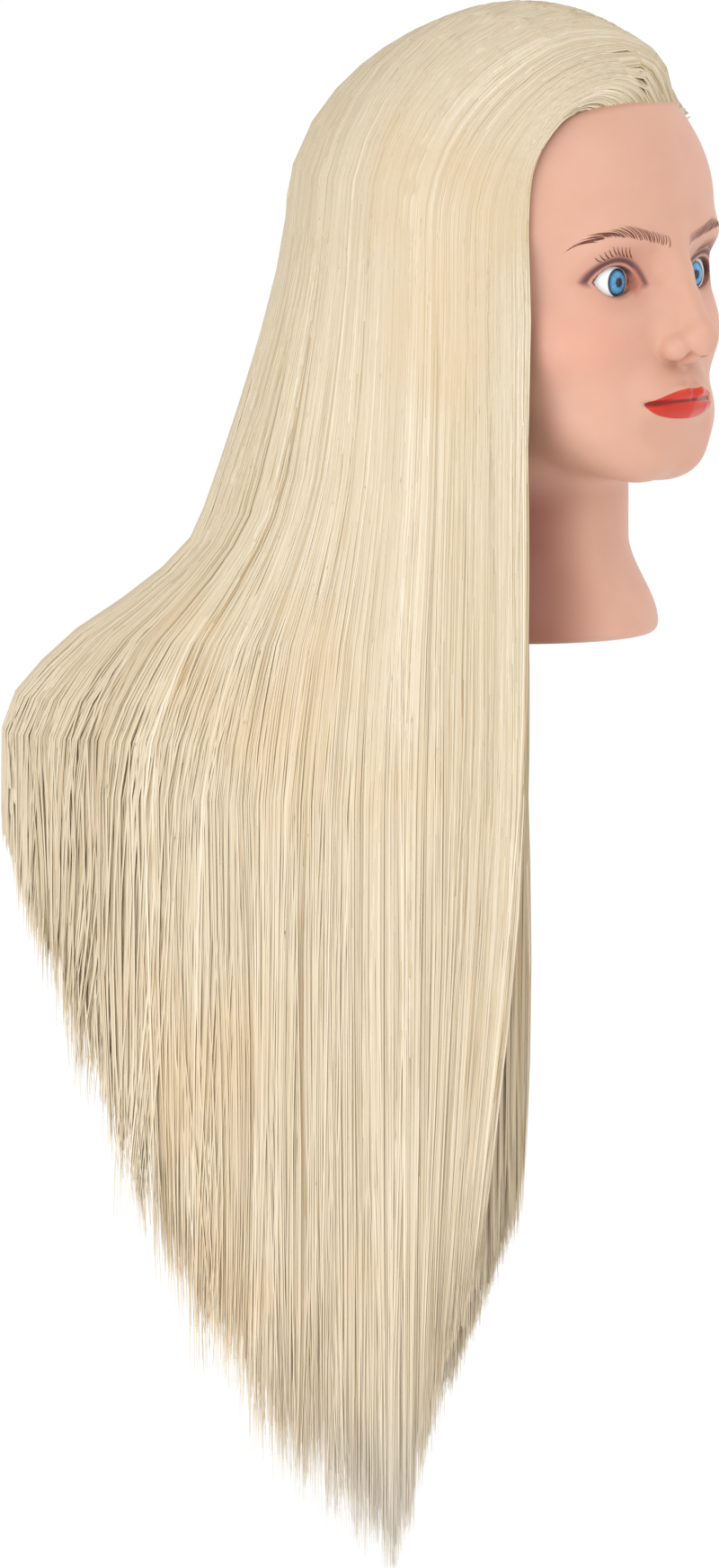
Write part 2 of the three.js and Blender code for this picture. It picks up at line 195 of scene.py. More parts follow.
# ---------------------------------------------------------------- the head's shape

# Each mass is a rounded lump: its centre, its half-sizes and how softly it joins the rest.
HEAD_MASSES = [
    ((0, -2, 205), (76, 94, 93), 1),
    ((0, -30, 212), (71, 67.5, 62), 10),
    ((0, -40, 152), (62, 59, 62), 16),
    ((0, -46, 112), (50, 52, 34), 14),
    ((10, -82, 94), (20, 18, 15), 14),
    ((24, -71.5, 110), (22, 20, 18), 16),
    ((36, -65, 149), (20, 20.5, 20), 16),
    ((22, -81, 197), (23, 10.5, 7), 12),
    ((0, -94, 120), (23, 12, 14), 12),
]
# Paired masses meet smoothly at the middle of the face, over about this width.
CENTRE_SOFTNESS = 4.0
EYE_HOLLOW = ((30, -100, 180), (19, 12, 12), 12)
EYE_INNER_HOLLOW = ((15, -104, 180), (6, 9, 9), 8)
NOSE_BRIDGE = ((0, -91, 195), (0, -97.8, 179), 7.2, 5.6, 9)
NOSE_RIDGE = ((0, -97.8, 179), (0, -103, 166), 5.6, 5.8, 8)
NOSE_SLOPE = ((0, -103, 166), (0, -111.2, 152.5), 5.8, 7.2, 8)
NOSE_SIDE = ((3.5, -92.0, 172), (7.5, -97.5, 152.5), 5.5, 7.0, 8)
NOSE_TIP = ((0, -111.8, 149.3), (8.4, 8.6, 7.6), 5)
NOSE_WING = ((10.2, -103.5, 145.4), (6.0, 8.6, 6.6), 3)
NOSE_BASE = ((0, -113.0, 143.0), (0, -103.5, 139.5), 3.6, 3.4, 4)
NOSTRIL = ((5.6, -108.4, 140.6), (2.4, 4.6, 2.6), 1)
PHILTRUM = ((0, -113.6, 138), (0, -114.4, 128), 3.2, 3.9, 4)
UPPER_LIP = ((4.2, -105.8, 123.0), (23.5, -95.6, 118.4), 4.0, 1.5, 3)
LOWER_LIP = ((0, -101.8, 114.9), (12.0, -99.2, 115.1), 5.0, 4.2, 3)
LOWER_LIP_SIDE = ((12.0, -99.2, 115.1), (23.5, -95.2, 118.0), 4.2, 1.4, 3)
MOUTH_SLIT = ((0, -111.8, 119.4), (24.5, -97.8, 118.2), 1.5, 0.9, 2.6)
CHIN_FOLD = ((0, -111.2, 104.5), (20, -104.0, 105.5), 4.8, 4.2, 8)


def lump(p, mass):
    """Signed distance, nearly, to an ellipsoid."""
    radii = np.array(mass[1], dtype=np.float32)
    q = (p - np.array(mass[0], dtype=np.float32)) / radii
    inner = np.linalg.norm(q, axis=-1)
    slope = np.linalg.norm(q / radii, axis=-1)
    return inner * (inner - 1.0) / np.maximum(slope, 1e-6)


def rod(p, shape):
    """Signed distance to a rod whose radius changes evenly from end to end."""
    start = np.array(shape[0], dtype=np.float32)
    along = np.array(shape[1], dtype=np.float32) - start
    t = np.clip(((p - start) @ along) / (along @ along), 0.0, 1.0)
    nearest = start + t[..., None] * along
    return np.linalg.norm(p - nearest, axis=-1) - lerp(shape[2], shape[3], t)


def join(a, b, blend):
    h = np.maximum(blend - np.abs(a - b), 0.0) / blend
    return np.minimum(a, b) - h * h * blend / 4.0


def carve(a, b, blend):
    return -join(-a, b, blend)


def neck_radius(z):
    flare = 1.0 - smoothstep(z, BASE_CORNER, BASE_FLARE_HEIGHT)
    corner = np.clip(BASE_CORNER - z, 0.0, BASE_CORNER)
    rounding = BASE_CORNER - np.sqrt(BASE_CORNER**2 - corner**2)
    return NECK_RADIUS + (BASE_RADIUS - NECK_RADIUS) * flare - rounding


def eye_view(p):
    """Coordinates seen along the eye: outwards across the face, up, and forward out of it."""
    q = p - EYE_CENTRE.astype(np.float32)
    return q @ EYE_ACROSS, q @ EYE_UP, q @ EYE_FORWARD


def lid_radius(rise):
    return (EYE_HALF_WIDTH**2 + rise**2) / (2.0 * rise)


def lid_arc(across, up, rise):
    return np.hypot(across, up - rise + lid_radius(rise)) - lid_radius(rise)


def almond(across, up):
    """Distance from the lids' opening, an almond between two arcs: negative inside it."""
    return np.maximum(lid_arc(across, up, UPPER_LID_RISE), lid_arc(across, -up, LOWER_LID_DROP))


def ear_distance(p):
    """The ear: a dished plate with a rolled rim, an inner fold and a lobe, leaning back."""
    q = p - np.array((76.0, 10.0, 167.0), dtype=np.float32)
    lean = math.radians(12)
    back = q[..., 1] * math.cos(lean) + q[..., 2] * math.sin(lean)
    up = q[..., 2] * math.cos(lean) - q[..., 1] * math.sin(lean)
    out = q[..., 0] - 0.25 * back - 1.0
    wide = np.where(up > 0, 16.0, 16.0 + 0.2 * up)
    ring = np.hypot(back / wide, up / 30.0)
    plate = np.maximum((ring - 1.0) * 14.0, np.abs(out) - 2.2)
    rim = np.hypot((ring - 0.9) * 15.0, out - 2.4) - np.where(up > -14, 2.6, 1.6)
    root = rod(p, ((70.0, 4.0, 184.0), (70.0, 6.0, 150.0), 9.0, 8.0))
    fold = np.hypot((ring - 0.56) * 15.0, out - 1.8) - np.where((back > 0) | (up > 6), 2.0, 0.2)
    bowl = np.sqrt((back / 7.5) ** 2 + ((up + 3.0) / 11.0) ** 2 + ((out - 5.5) / 6.0) ** 2) - 1.0
    tragus = lump(p, ((79.5, -1.0, 163.0), (3.5, 3.5, 5.0), 2))
    d = join(join(plate, rim, 3.0), root, 6.0)
    d = carve(join(d, fold, 3.0), bowl * 6.0, 3.0)
    return join(d, tragus, 3.0)


def bare_head(p):
    """Signed distance to the head and neck without ears, eye openings and recesses."""
    rounded = np.array(p)
    rounded[..., 0] = np.hypot(p[..., 0], CENTRE_SOFTNESS)
    d = lump(p, HEAD_MASSES[0])
    for mass in HEAD_MASSES[1:]:
        d = join(d, lump(rounded if mass[0][0] else p, mass), mass[2])
    for hollow in (EYE_HOLLOW, EYE_INNER_HOLLOW):
        d = carve(d, lump(p, hollow), hollow[2])
    d = join(d, np.linalg.norm(p - EYE_CENTRE.astype(np.float32), axis=-1) - EYE_RADIUS - 1.6, 5.0)
    for shape in (NOSE_BRIDGE, NOSE_RIDGE, NOSE_SLOPE, NOSE_SIDE, NOSE_BASE):
        d = join(d, rod(p, shape), shape[4])
    for mass in (NOSE_TIP, NOSE_WING):
        d = join(d, lump(p, mass), mass[2])
    d = carve(d, lump(p, NOSTRIL), 2.0)
    for shape in (UPPER_LIP, LOWER_LIP, LOWER_LIP_SIDE):
        d = join(d, rod(p, shape), shape[4])
    for shape in (PHILTRUM, MOUTH_SLIT, CHIN_FOLD):
        d = carve(d, rod(p, shape), shape[4])
    neck = np.maximum(np.hypot(p[..., 0], p[..., 1]) - neck_radius(p[..., 2]), p[..., 2] - 150.0)
    return join(d, neck, 10.0)


def head_distance(points):
    """Signed distance to the vinyl skin, negative inside. Both sides of the head are alike."""
    p = one_side(points)
    d = join(bare_head(p), ear_distance(p), 4.0)
    across, up, forward = eye_view(p)
    slant = LID_SLANT * np.maximum(forward - LID_DEPTH, 0.0)
    d = carve(d, np.maximum(almond(across, up) - slant, EYE_SEAT - forward), 0.8)
    for radius, height in (BASE_RECESS, SOCKET_RECESS):
        recess = np.maximum(np.hypot(p[..., 0], p[..., 1]) - radius, p[..., 2] - height)
        d = np.maximum(d, -recess)
    return np.maximum(d, -p[..., 2])


# The lattice that a surface is read on is split into blocks of this many steps.
LATTICE_BLOCK = 8


def lattice_values(distance, low, step, sizes):
    """The distance on a lattice, read closely near the surface and coarsely away from it."""
    block = LATTICE_BLOCK
    axes = [l + step * np.arange(n, dtype=np.float32) for l, n in zip(low, sizes)]
    coarse = distance(np.stack(np.meshgrid(*(a[::block] for a in axes), indexing="ij"), axis=-1))
    field, close = coarse, np.abs(coarse) < step * block * 1.9
    for axis in range(3):
        field = np.repeat(field, block, axis)
        close = np.repeat(close, block, axis)
    window = tuple(slice(block // 2, block // 2 + n) for n in sizes)
    field = np.ascontiguousarray(field[window])
    where = np.nonzero(close[window])
    points = np.stack([axes[i][where[i]] for i in range(3)], axis=-1)
    field[where] = np.concatenate([distance(part) for part in np.array_split(points, 12)])
    return field


def surface_net(distance, low, high, step):
    """Points and four-sided faces of the surface where the distance is zero."""
    block = step * LATTICE_BLOCK
    sizes = [math.ceil((h - l) / block) * LATTICE_BLOCK + 1 for l, h in zip(low, high)]
    field = lattice_values(distance, low, step, sizes)
    inside = field < 0
    cells = tuple(n - 1 for n in sizes)
    corners = [(i, j, k) for i in (0, 1) for j in (0, 1) for k in (0, 1)]
    counts = np.zeros(cells, dtype=np.int8)
    for i, j, k in corners:
        counts += inside[i:i + cells[0], j:j + cells[1], k:k + cells[2]]
    mixed = (counts > 0) & (counts < 8)
    cell = np.array(np.nonzero(mixed)).T
    total = np.zeros((len(cell), 3))
    crossings = np.zeros(len(cell))
    for corner in corners:
        for axis in range(3):
            if corner[axis]:
                continue
            other = list(corner)
            other[axis] = 1
            here = field[tuple((cell + np.array(corner)).T)]
            there = field[tuple((cell + np.array(other)).T)]
            cut = (here < 0) != (there < 0)
            spot = cell + np.array(corner, dtype=float)
            spot[:, axis] += np.where(cut, here / np.where(cut, here - there, 1.0), 0.0)
            total += np.where(cut[:, None], spot, 0.0)
            crossings += cut
    points = total / crossings[:, None] * step + np.array(low)

    index = np.full(cells, -1, dtype=np.int32)
    index[mixed] = np.arange(len(cell))
    faces = []
    for axis in range(3):
        u, v = (axis + 1) % 3, (axis + 2) % 3
        first = np.take(inside, range(0, sizes[axis] - 1), axis)
        second = np.take(inside, range(1, sizes[axis]), axis)
        edge = np.array(np.nonzero(first != second)).T
        edge = edge[(edge[:, u] > 0) & (edge[:, v] > 0)]
        edge = edge[(edge[:, u] < cells[u]) & (edge[:, v] < cells[v])]
        leaving = first[tuple(edge.T)]
        ring = []
        for du, dv in ((0, 0), (1, 0), (1, 1), (0, 1)):
            at = edge.copy()
            at[:, u] -= 1 - du
            at[:, v] -= 1 - dv
            ring.append(index[tuple(at.T)])
        quad = np.stack(ring, axis=-1)
        quad[~leaving] = quad[~leaving][:, ::-1]
        faces.append(quad)
    return points, np.concatenate(faces)


def settle(points, passes=2, limit=0.4, reach=0.3):
    """Moves points onto the skin, by at most a little, so that its curves come out smooth."""
    for _ in range(passes):
        slope = np.zeros_like(points)
        for axis in range(3):
            offset = np.zeros(3)
            offset[axis] = reach
            slope[:, axis] = head_distance(points + offset) - head_distance(points - offset)
        slope /= 2.0 * reach
        steep = np.maximum((slope * slope).sum(axis=-1, keepdims=True), 0.2)
        points = points - np.clip(head_distance(points)[:, None] * slope / steep, -limit, limit)
    return points


# ---------------------------------------------------------------- blush, scalp and painted shadow on the skin

def painted_fields(points):
    """Softly coloured areas of the skin: blushed cheeks, rooted scalp and painted shadow beside the
    hair.
    """
    side = np.abs(points[:, 0])
    cheek = np.exp(-(((side - 46.0) / 17.0) ** 2 + ((points[:, 2] - 146.0) / 17.0) ** 2))
    angle, elevation = angles_of(unit(points - CROWN))
    above = elevation - hairline_elevation(angle)
    turn = np.where(angle > 180.0, 0.0, angle)
    # Painted shadow of the hair: skin beside the hair curtain is darkened, faintly on the face and
    # strongly on the neck.
    shadow_on_face = 0.05 * smoothstep(turn, 38.0, 50.0)
    shadow_on_neck = smoothstep(turn, 6.0, 42.0)
    return {
        "blush": cheek * (points[:, 1] < 0.0),
        "scalp": smoothstep(above, -1.5, 1.5),
        "hair_shadow": lerp(shadow_on_neck, shadow_on_face, smoothstep(points[:, 2], 62.0, 90.0)),
    }


# ---------------------------------------------------------------- hair shape

SIDE_ANGLE = 78.0
# The hairline drops from the forehead to the nape: how far, and from which angle to which.
FOREHEAD_HAIRLINE = 38.0
HAIRLINE_DROPS = [(2.0, 0.0, 45.0), (28.0, 45.0, SIDE_ANGLE), (42.0, 104.0, 124.0)]
# Hair at depth 0 lies this share as far out as hair at depth 1.
INNER_SHARE = 0.15
# Swept hair turns down at this height, over a span that is shorter where the sweep is strongest.
SHOULDER = 2.0
SHOULDER_SPANS = (120.0, 50.0)
# The front edge turns back towards GATHER_ANGLE as it falls past these heights.
GATHER_HEIGHTS = (30.0, 440.0)
GATHER_SHARE = 0.8
GATHER_WIDTH = 0.35
# The cut ends rise from the point of the hair: outwards in a curve, inwards up to a limit. Both
# are measured at the height where the hair's outline is widest.
OUTLINE_HEIGHT = -100.0
OUTLINE_REACH = 190.0
OUTER_RISE = 340.0
OUTER_BEND = 1.65
INNER_RISE = 475.0
INNER_LIMIT = 165.0


def sweep(angle):
    """How strongly the hair is swept out: 1 in the middle of the sweep and 0 far from it."""
    turn = (angle - SWEEP_ANGLE) / SWEEP_SPREAD
    return (1.0 + turn * turn) ** -1.5


def hair_thickness(angle, elevation):
    low = lerp(HAIR_EDGE_THICKNESS, HAIR_SIDE_THICKNESS, smoothstep(angle, FRONT_EDGE, SIDE_ANGLE))
    low = low + HAIR_BACK_THICKNESS * sweep(angle)
    return lerp(HAIR_TOP_THICKNESS, low, smoothstep(90.0 - elevation, 15.0, 90.0))


def hairline_elevation(angle):
    """Elevation of the hairline seen from the crown, from the forehead round to the nape."""
    turn = np.where(angle > 180.0, 360.0 - angle, angle)
    elevation = FOREHEAD_HAIRLINE
    for drop, start, end in HAIRLINE_DROPS:
        elevation = elevation - drop * smoothstep(turn, start, end)
    return elevation


TABLE_STEP = 3.0
TABLE_LOW = -60.0


def skull_table():
    """Distance from the crown to the skin, for a lattice of angles and elevations."""
    angle = np.arange(0.0, 360.0 + TABLE_STEP, TABLE_STEP)
    elevation = np.arange(TABLE_LOW, 90.0 + TABLE_STEP, TABLE_STEP)
    directions = direction_of(*np.meshgrid(angle, elevation, indexing="ij"))
    reach = np.full(directions.shape[:2], 150.0)
    for _ in range(60):
        p = one_side(CROWN + directions * reach[..., None])
        reach -= np.clip(0.6 * bare_head(p), -4.0, 4.0)
    return reach


SKULL = skull_table()


def skull_radius(angle, elevation):
    """The skin's distance from the crown, read from the table between its angles."""
    column = np.clip((angle % 360.0) / TABLE_STEP, 0.0, SKULL.shape[0] - 1.001)
    row = np.clip((elevation - TABLE_LOW) / TABLE_STEP, 0.0, SKULL.shape[1] - 1.001)
    i, j = column.astype(int), row.astype(int)
    u, v = column - i, row - j
    lower = lerp(SKULL[i, j], SKULL[i + 1, j], u)
    upper = lerp(SKULL[i, j + 1], SKULL[i + 1, j + 1], u)
    return lerp(lower, upper, v)


def hanging_radius(angle, z, depth):
    """Distance from the neck's axis of hair that hangs at a depth: 1 is outermost."""
    swept = sweep(angle)
    fall = np.clip((CROWN[2] - z) / CROWN[2], 0.0, 1.0)
    half = lerp(*SHOULDER_SPANS, swept)
    lower = 1.0 - smoothstep(z, SHOULDER - half, SHOULDER + half)
    spread = swept * (SWEEP_UPPER * fall**1.25 + SWEEP_LOWER * lower)
    share = lerp(INNER_SHARE, 1.0, depth)
    base = skull_radius(angle, np.zeros_like(angle))
    return base + hair_thickness(angle, 0.0) * share + spread * share


def gathered(angle, z):
    """The angle of hair that hangs at an angle: its front edge turns back towards its point."""
    near_front = 1.0 - smoothstep(angle, GATHER_ANGLE - 20.0, GATHER_ANGLE + 18.0)
    amount = GATHER_SHARE * smoothstep(-z, *GATHER_HEIGHTS) * near_front
    return lerp(angle, GATHER_ANGLE + GATHER_WIDTH * (angle - GATHER_ANGLE), amount)


def hair_end(angle, depth):
    """Height of the cut ends. The hair comes to a point, TIP_OFFSET away from the axis."""
    radius = hanging_radius(angle, np.full_like(angle, OUTLINE_HEIGHT), depth)
    beyond = (radius * np.cos(np.radians(angle - SWEEP_ANGLE)) - TIP_OFFSET) / OUTLINE_REACH
    outer = OUTER_RISE * np.maximum(beyond, 0.0) ** OUTER_BEND
    inner = np.minimum(-np.minimum(beyond, 0.0) * INNER_RISE, INNER_LIMIT)
    return HAIR_TIP + np.where(beyond > 0.0, outer, inner)


# ---------------------------------------------------------------- strands of hair

# Rings of a strand: how many lie over the skull, and their heights as the hair hangs. Hair at the
# front curves most over the skull, and hair that is swept out curves most as it hangs.
FRONT_RINGS = (17, [160.0, 115.0, 70.0, 35.0, 0.0, -35.0, -75.0])
SWEPT_RINGS = (11, [175.0, 145.0, 110.0, 80.0, 60.0, 45.0, 30.0, 15.0, 0.0, -15.0, -30.0, -48.0,
                    -75.0])
UNDER_RINGS = (4, [110.0, 60.0, 30.0, 0.0, -30.0, -75.0])
# The last rings, as shares of the way from the lowest height above to the strand's cut end.
END_SHARES = np.array([0.25, 0.5, 0.75, 0.9, 1.0])
# Hair rises from the scalp to its full thickness over RISE_LENGTH, and its roots are darker. The
# radii turn lengths along the scalp, and strands' places beside their lock, into angles.
SCALP_RADIUS = 110.0
SPREAD_RADIUS = 90.0
RISE_LENGTH = 30.0
ROOT_LENGTH = 12.0
ROOT_SHADE = 0.3
# How far a strand wanders from its lock, how uneven the ends are, a strand's height for its width,
# and the distance from the neck's axis beyond which strands are wider, to cover what they spread.
STRAND_WANDER = 0.8
END_SCATTER = 16.0
STRAND_FLATNESS = 0.7
FAN_RADIUS = 120.0


def curve_points(controls, t):
    """Points at t, from 0 to 1, of curves given by four controls each."""
    weights = np.stack([(1 - t) ** 3, 3 * t * (1 - t) ** 2, 3 * t * t * (1 - t), t**3])
    return np.einsum("cnk,cm->nmk", controls, weights)


def over_skull(path, beside, depth, sink):
    """Strands over the skull: their points, and the angle round the head where they end.

    path holds directions from the crown, and beside how far, in radians, a strand lies off it.
    """
    along = unit(np.gradient(path, axis=1))
    across = unit(np.cross(along, path))
    path = unit(path + across * beside[..., None])
    angle, elevation = angles_of(path)
    step = np.arccos(np.clip((path[:, 1:] * path[:, :-1]).sum(axis=-1), -1.0, 1.0))
    length = np.concatenate([np.zeros((len(path), 1)), np.cumsum(step, axis=1)], axis=1)
    length = length * SCALP_RADIUS
    thick = hair_thickness(angle, elevation) * lerp(INNER_SHARE, 1.0, depth)[:, None]
    out = thick * smoothstep(length, -1.0, RISE_LENGTH)
    out = out - sink * (1.0 - smoothstep(length, 0.0, ROOT_LENGTH))
    return CROWN + path * (skull_radius(angle, elevation) + out)[..., None], angle[:, -1]


def hanging_down(cap, last_angle, strand, heights):
    """Strands from where they leave the skull, at the end of cap, down to their cut ends."""
    hang, depth = strand["hang"], strand["depth"]
    tip = hair_end(hang, depth) + strand["short"] + rng.exponential(END_SCATTER, len(hang))
    start = cap[:, -1, 2]
    flare = heights + (start[:, None] - CROWN[2]) * smoothstep(heights, 0.0, 175.0)
    z = np.concatenate([flare, lerp(heights[-1], tip[:, None], END_SHARES)], axis=1)
    s = (start[:, None] - z) / (start - tip)[:, None]
    wave = strand["wave"][:, None] * np.sin(2 * np.pi * (s * 1.3 + strand["phase"][:, None]))
    fine = rng.normal(size=(len(hang), 1)) * 0.5 * s
    swing = ((last_angle - hang + 180.0) % 360.0) - 180.0
    angle = gathered(hang[:, None] + wave + fine + swing[:, None] * (1.0 - 0.6 * s**2), z)
    radius = hanging_radius(angle, z, depth[:, None])
    mismatch = np.linalg.norm(cap[:, -1, :2], axis=-1) - hanging_radius(last_angle, start, depth)
    radius += mismatch[:, None] * (1.0 - smoothstep(s, 0.0, 0.25))
    radius += STRAND_WANDER * rng.normal(size=(len(hang), 1)) * s
    return round_axis(angle, radius, z)


def strand_paths(locks, strands_each, spread, rings=SWEPT_RINGS, sink=0.0, contrast=0.12):
    """Centre lines and tones of strands that start in the scalp, lie over the skull and hang.

    locks holds, for each lock, its four directions from the crown, the angle it hangs at, its
    depth and its tone. A lock's strands spread sideways. Their roots lie sink deep in the scalp.
    """
    lock = np.repeat(np.arange(len(locks["hang"])), strands_each)
    strand = {key: values[lock] for key, values in locks.items() if key != "controls"}
    side = rng.uniform(-1.0, 1.0, len(lock))
    lift = np.sqrt(1.0 - side**2) * rng.uniform(0.3, 1.0, len(lock))
    strand["depth"] = np.clip(strand["depth"] + 0.08 * lift - 0.05, 0.0, 1.0)
    t = np.linspace(0.0, 1.0, rings[0])
    path = unit(curve_points(locks["controls"][:, lock], t))
    beside = side[:, None] * spread + STRAND_WANDER * rng.normal(size=(len(lock), 1)) * t
    cap, last_angle = over_skull(path, beside / SPREAD_RADIUS, strand["depth"], sink)
    hanging = hanging_down(cap, last_angle, strand, np.array(rings[1]))
    tone = np.clip(strand["tone"] + contrast * rng.normal(size=len(lock)), 0.0, 1.0)
    return np.concatenate([cap, hanging], axis=1), tone


def strand_mesh(paths, tones, width):
    """Three-sided tapered tubes round the centre lines, with UVs, tones and shading normals.

    The two outer sides of a tube share soft normals, so that the hair shades as one sheet. The
    side that faces the head has its own.
    """
    count, rings = paths.shape[:2]
    t = np.linspace(0.0, 1.0, rings)
    along = unit(np.gradient(paths, axis=1))
    middle = np.zeros_like(paths)
    middle[..., 2] = np.minimum(paths[..., 2], CROWN[2])
    outward = unit(paths - middle)
    across = unit(np.cross(along, outward))
    outward = np.cross(across, along)
    taper = np.minimum(1.0, 0.45 + 6.0 * t) * (1.0 - 0.85 * smoothstep(t, 0.92, 1.0))
    fan = np.clip(np.linalg.norm(paths[..., :2], axis=-1) / FAN_RADIUS, 1.0, 1.6)
    half = 0.5 * width[:, None, None] * (taper * fan)[..., None]
    turns = np.radians([90.0, 210.0, 330.0])
    ring = [math.cos(a) * across + STRAND_FLATNESS * math.sin(a) * outward for a in turns]
    points = np.stack([paths + half * offset for offset in ring], axis=2)
    normals = unit(0.5 * outward[:, :, None] + 0.5 * unit(points - paths[:, :, None]))
    points, normals = points.reshape(-1, 3), normals.reshape(-1, 3)
    base = (np.arange(count)[:, None] * rings + np.arange(rings - 1)) * 3
    sides = np.array([[i, i + 3, j + 3, j] for i, j in ((0, 1), (1, 2), (2, 0))])
    faces = base[..., None, None] + sides
    corners = normals[faces]
    corners[:, :, 1] = -outward[:, :-1, None]
    across_uv = np.repeat((np.arange(count) + 0.5) / count, rings * 3)
    along_uv = np.tile(np.repeat(t, 3), count)
    uv = np.stack([across_uv, along_uv], axis=-1)
    shades = tones[:, None] - ROOT_SHADE * (1.0 - smoothstep(t, 0.0, 0.16))
    return points, faces.reshape(-1, 4), uv, np.repeat(shades.ravel(), 3), corners


def make_locks(controls, hang, depth, short_by=14.0):
    """Locks from four rows of directions, with random tones, lengths and waves."""
    count = len(hang)
    return {
        "controls": np.stack(controls),
        "hang": hang,
        "depth": depth,
        "tone": np.clip(0.5 + 0.09 * rng.normal(size=count), 0.0, 1.0),
        "short": rng.exponential(short_by, count),
        "wave": rng.normal(size=count) * 0.6,
        "phase": rng.uniform(size=count),
    }


HAIRLINE_CORNER = (319.4, 36.5)
PART_END = np.array([15.0, 35.0, 92.0])
UP = np.array([0.0, 0.0, 1.0])


def lock_shares(count, low=0.0, high=1.0):
    """Shares from 0 to 1 of the locks along a row, each a little off its even place."""
    return (np.arange(count) + rng.uniform(low, high, count)) / count


def lock_rows(count, depths, first_hang, last_hang):
    """Shares, depths and hanging angles of one row of locks for each depth."""
    share = np.tile(lock_shares(count), len(depths))
    return share, np.repeat(depths, count), lerp(first_hang, last_hang, share)


def parting(share):
    """Places on the parting, from the far corner of the hairline back to the crown."""
    corner = direction_of(HAIRLINE_CORNER[0], HAIRLINE_CORNER[1] + 2.0)
    return unit(lerp(corner, unit(PART_END), share[:, None]))


def front_locks(count, depths):
    """Hair rooted along the front hairline. It rises, turns over and hangs at the near side."""
    q = np.tile(lock_shares(count, 0.1, 0.9), len(depths))
    depth = np.repeat(depths, count)
    q = np.clip(q + 0.3 / count * rng.normal(size=len(q)), 0.0, 1.0)
    root = direction_of(lerp(45.5, -40.6, q), np.full_like(q, 37.2) + 2.2 * (1.0 - depth))
    hang = np.interp(q, [0.0, 0.52, 0.815, 1.0], [51.5, 56.5, 70.0, 90.0])
    end = direction_of(hang, np.zeros_like(q))
    lean = unit(end - root)
    start_pull = root + (0.13 + 0.52 * q)[:, None] * UP + (0.12 * q)[:, None] * lean
    end_pull = end + (0.42 + 0.5 * q)[:, None] * UP
    return make_locks([root, start_pull, end_pull, end], hang, depth)


def part_locks(count, depths, first_hang, last_hang):
    """Hair rooted along the parting, which hangs from the right side round to the back."""
    share, depth, hang = lock_rows(count, depths, first_hang, last_hang)
    root = parting(smoothstep(share, -0.2, 0.9))
    root = unit(root + 0.03 * rng.normal(size=root.shape))
    end = direction_of(hang, np.zeros_like(hang))
    return make_locks([root, root + 0.45 * UP + 0.3 * (end - root), end + 0.85 * UP, end],
                      hang, depth)


def crown_locks(count, depths, first_hang, last_hang):
    """Hair that fans out from the crown to the back of the head."""
    share, depth, hang = lock_rows(count, depths, first_hang, last_hang)
    root = unit(unit(PART_END) + 0.08 * rng.normal(size=(len(hang), 3)))
    end = direction_of(hang, np.zeros_like(hang))
    start_pull = unit(lerp(root, end, 0.3)) * 1.05
    end_pull = unit(lerp(root, end, 0.75)) * 1.1
    return make_locks([root, start_pull, end_pull, end], hang, depth)


# The hairline of the left temple, from the parting's corner to behind the ear: angle, elevation.
TEMPLE_LINE = [HAIRLINE_CORNER, (299.0, 26.0), (283.0, 11.0), (268.0, 6.0), (252.0, 2.0),
               (244.0, -8.0)]


def left_locks(count, rows, depths):
    """Hair of the far side, rooted from the temple up to the parting and swept back and down."""
    share, row, depth = np.meshgrid(lock_shares(count), rows, depths, indexing="ij")
    share, row, depth = share.ravel(), row.ravel(), depth.ravel()
    knots = np.linspace(0.0, 1.0, len(TEMPLE_LINE))
    line_angle, line_rise = (np.interp(share, knots, line) for line in zip(*TEMPLE_LINE))
    temple = direction_of(line_angle, line_rise)
    root = lerp(temple, parting(share), row[:, None])
    root = unit(root + 0.015 * rng.normal(size=temple.shape))
    hang = lerp(229.0, 203.0, 0.55 * row + 0.45 * share) + 1.5 * rng.normal(size=len(row))
    hang = np.clip(hang, 200.0, 230.0)
    end = direction_of(hang, np.full_like(hang, -4.0))
    back = direction_of(lerp(line_angle, 240.0, 0.45), lerp(24.0, 55.0, row))
    end_pull = direction_of(lerp(244.0, 226.0, row), lerp(16.0, 30.0, row))
    return make_locks([root, lerp(root, back, 0.8), end_pull, end], hang, depth)


def nape_locks(count, depths):
    """The under layer that grows from the nape."""
    share, depth, hang = lock_rows(count, depths, 120.0, 229.0)
    root = direction_of(hang, rng.uniform(-34.0, -12.0, len(hang)))
    end = direction_of(hang, np.full_like(hang, -40.0))
    return make_locks([root, lerp(root, end, 0.3), lerp(root, end, 0.7), end], hang, depth, 40.0)


# ---------------------------------------------------------------- materials

def colour(red, green, blue):
    """A linear colour from the usual 0 to 255 screen values."""
    linear = [((c / 255.0 + 0.055) / 1.055) ** 2.4 for c in (red, green, blue)]
    return (*linear, 1.0)


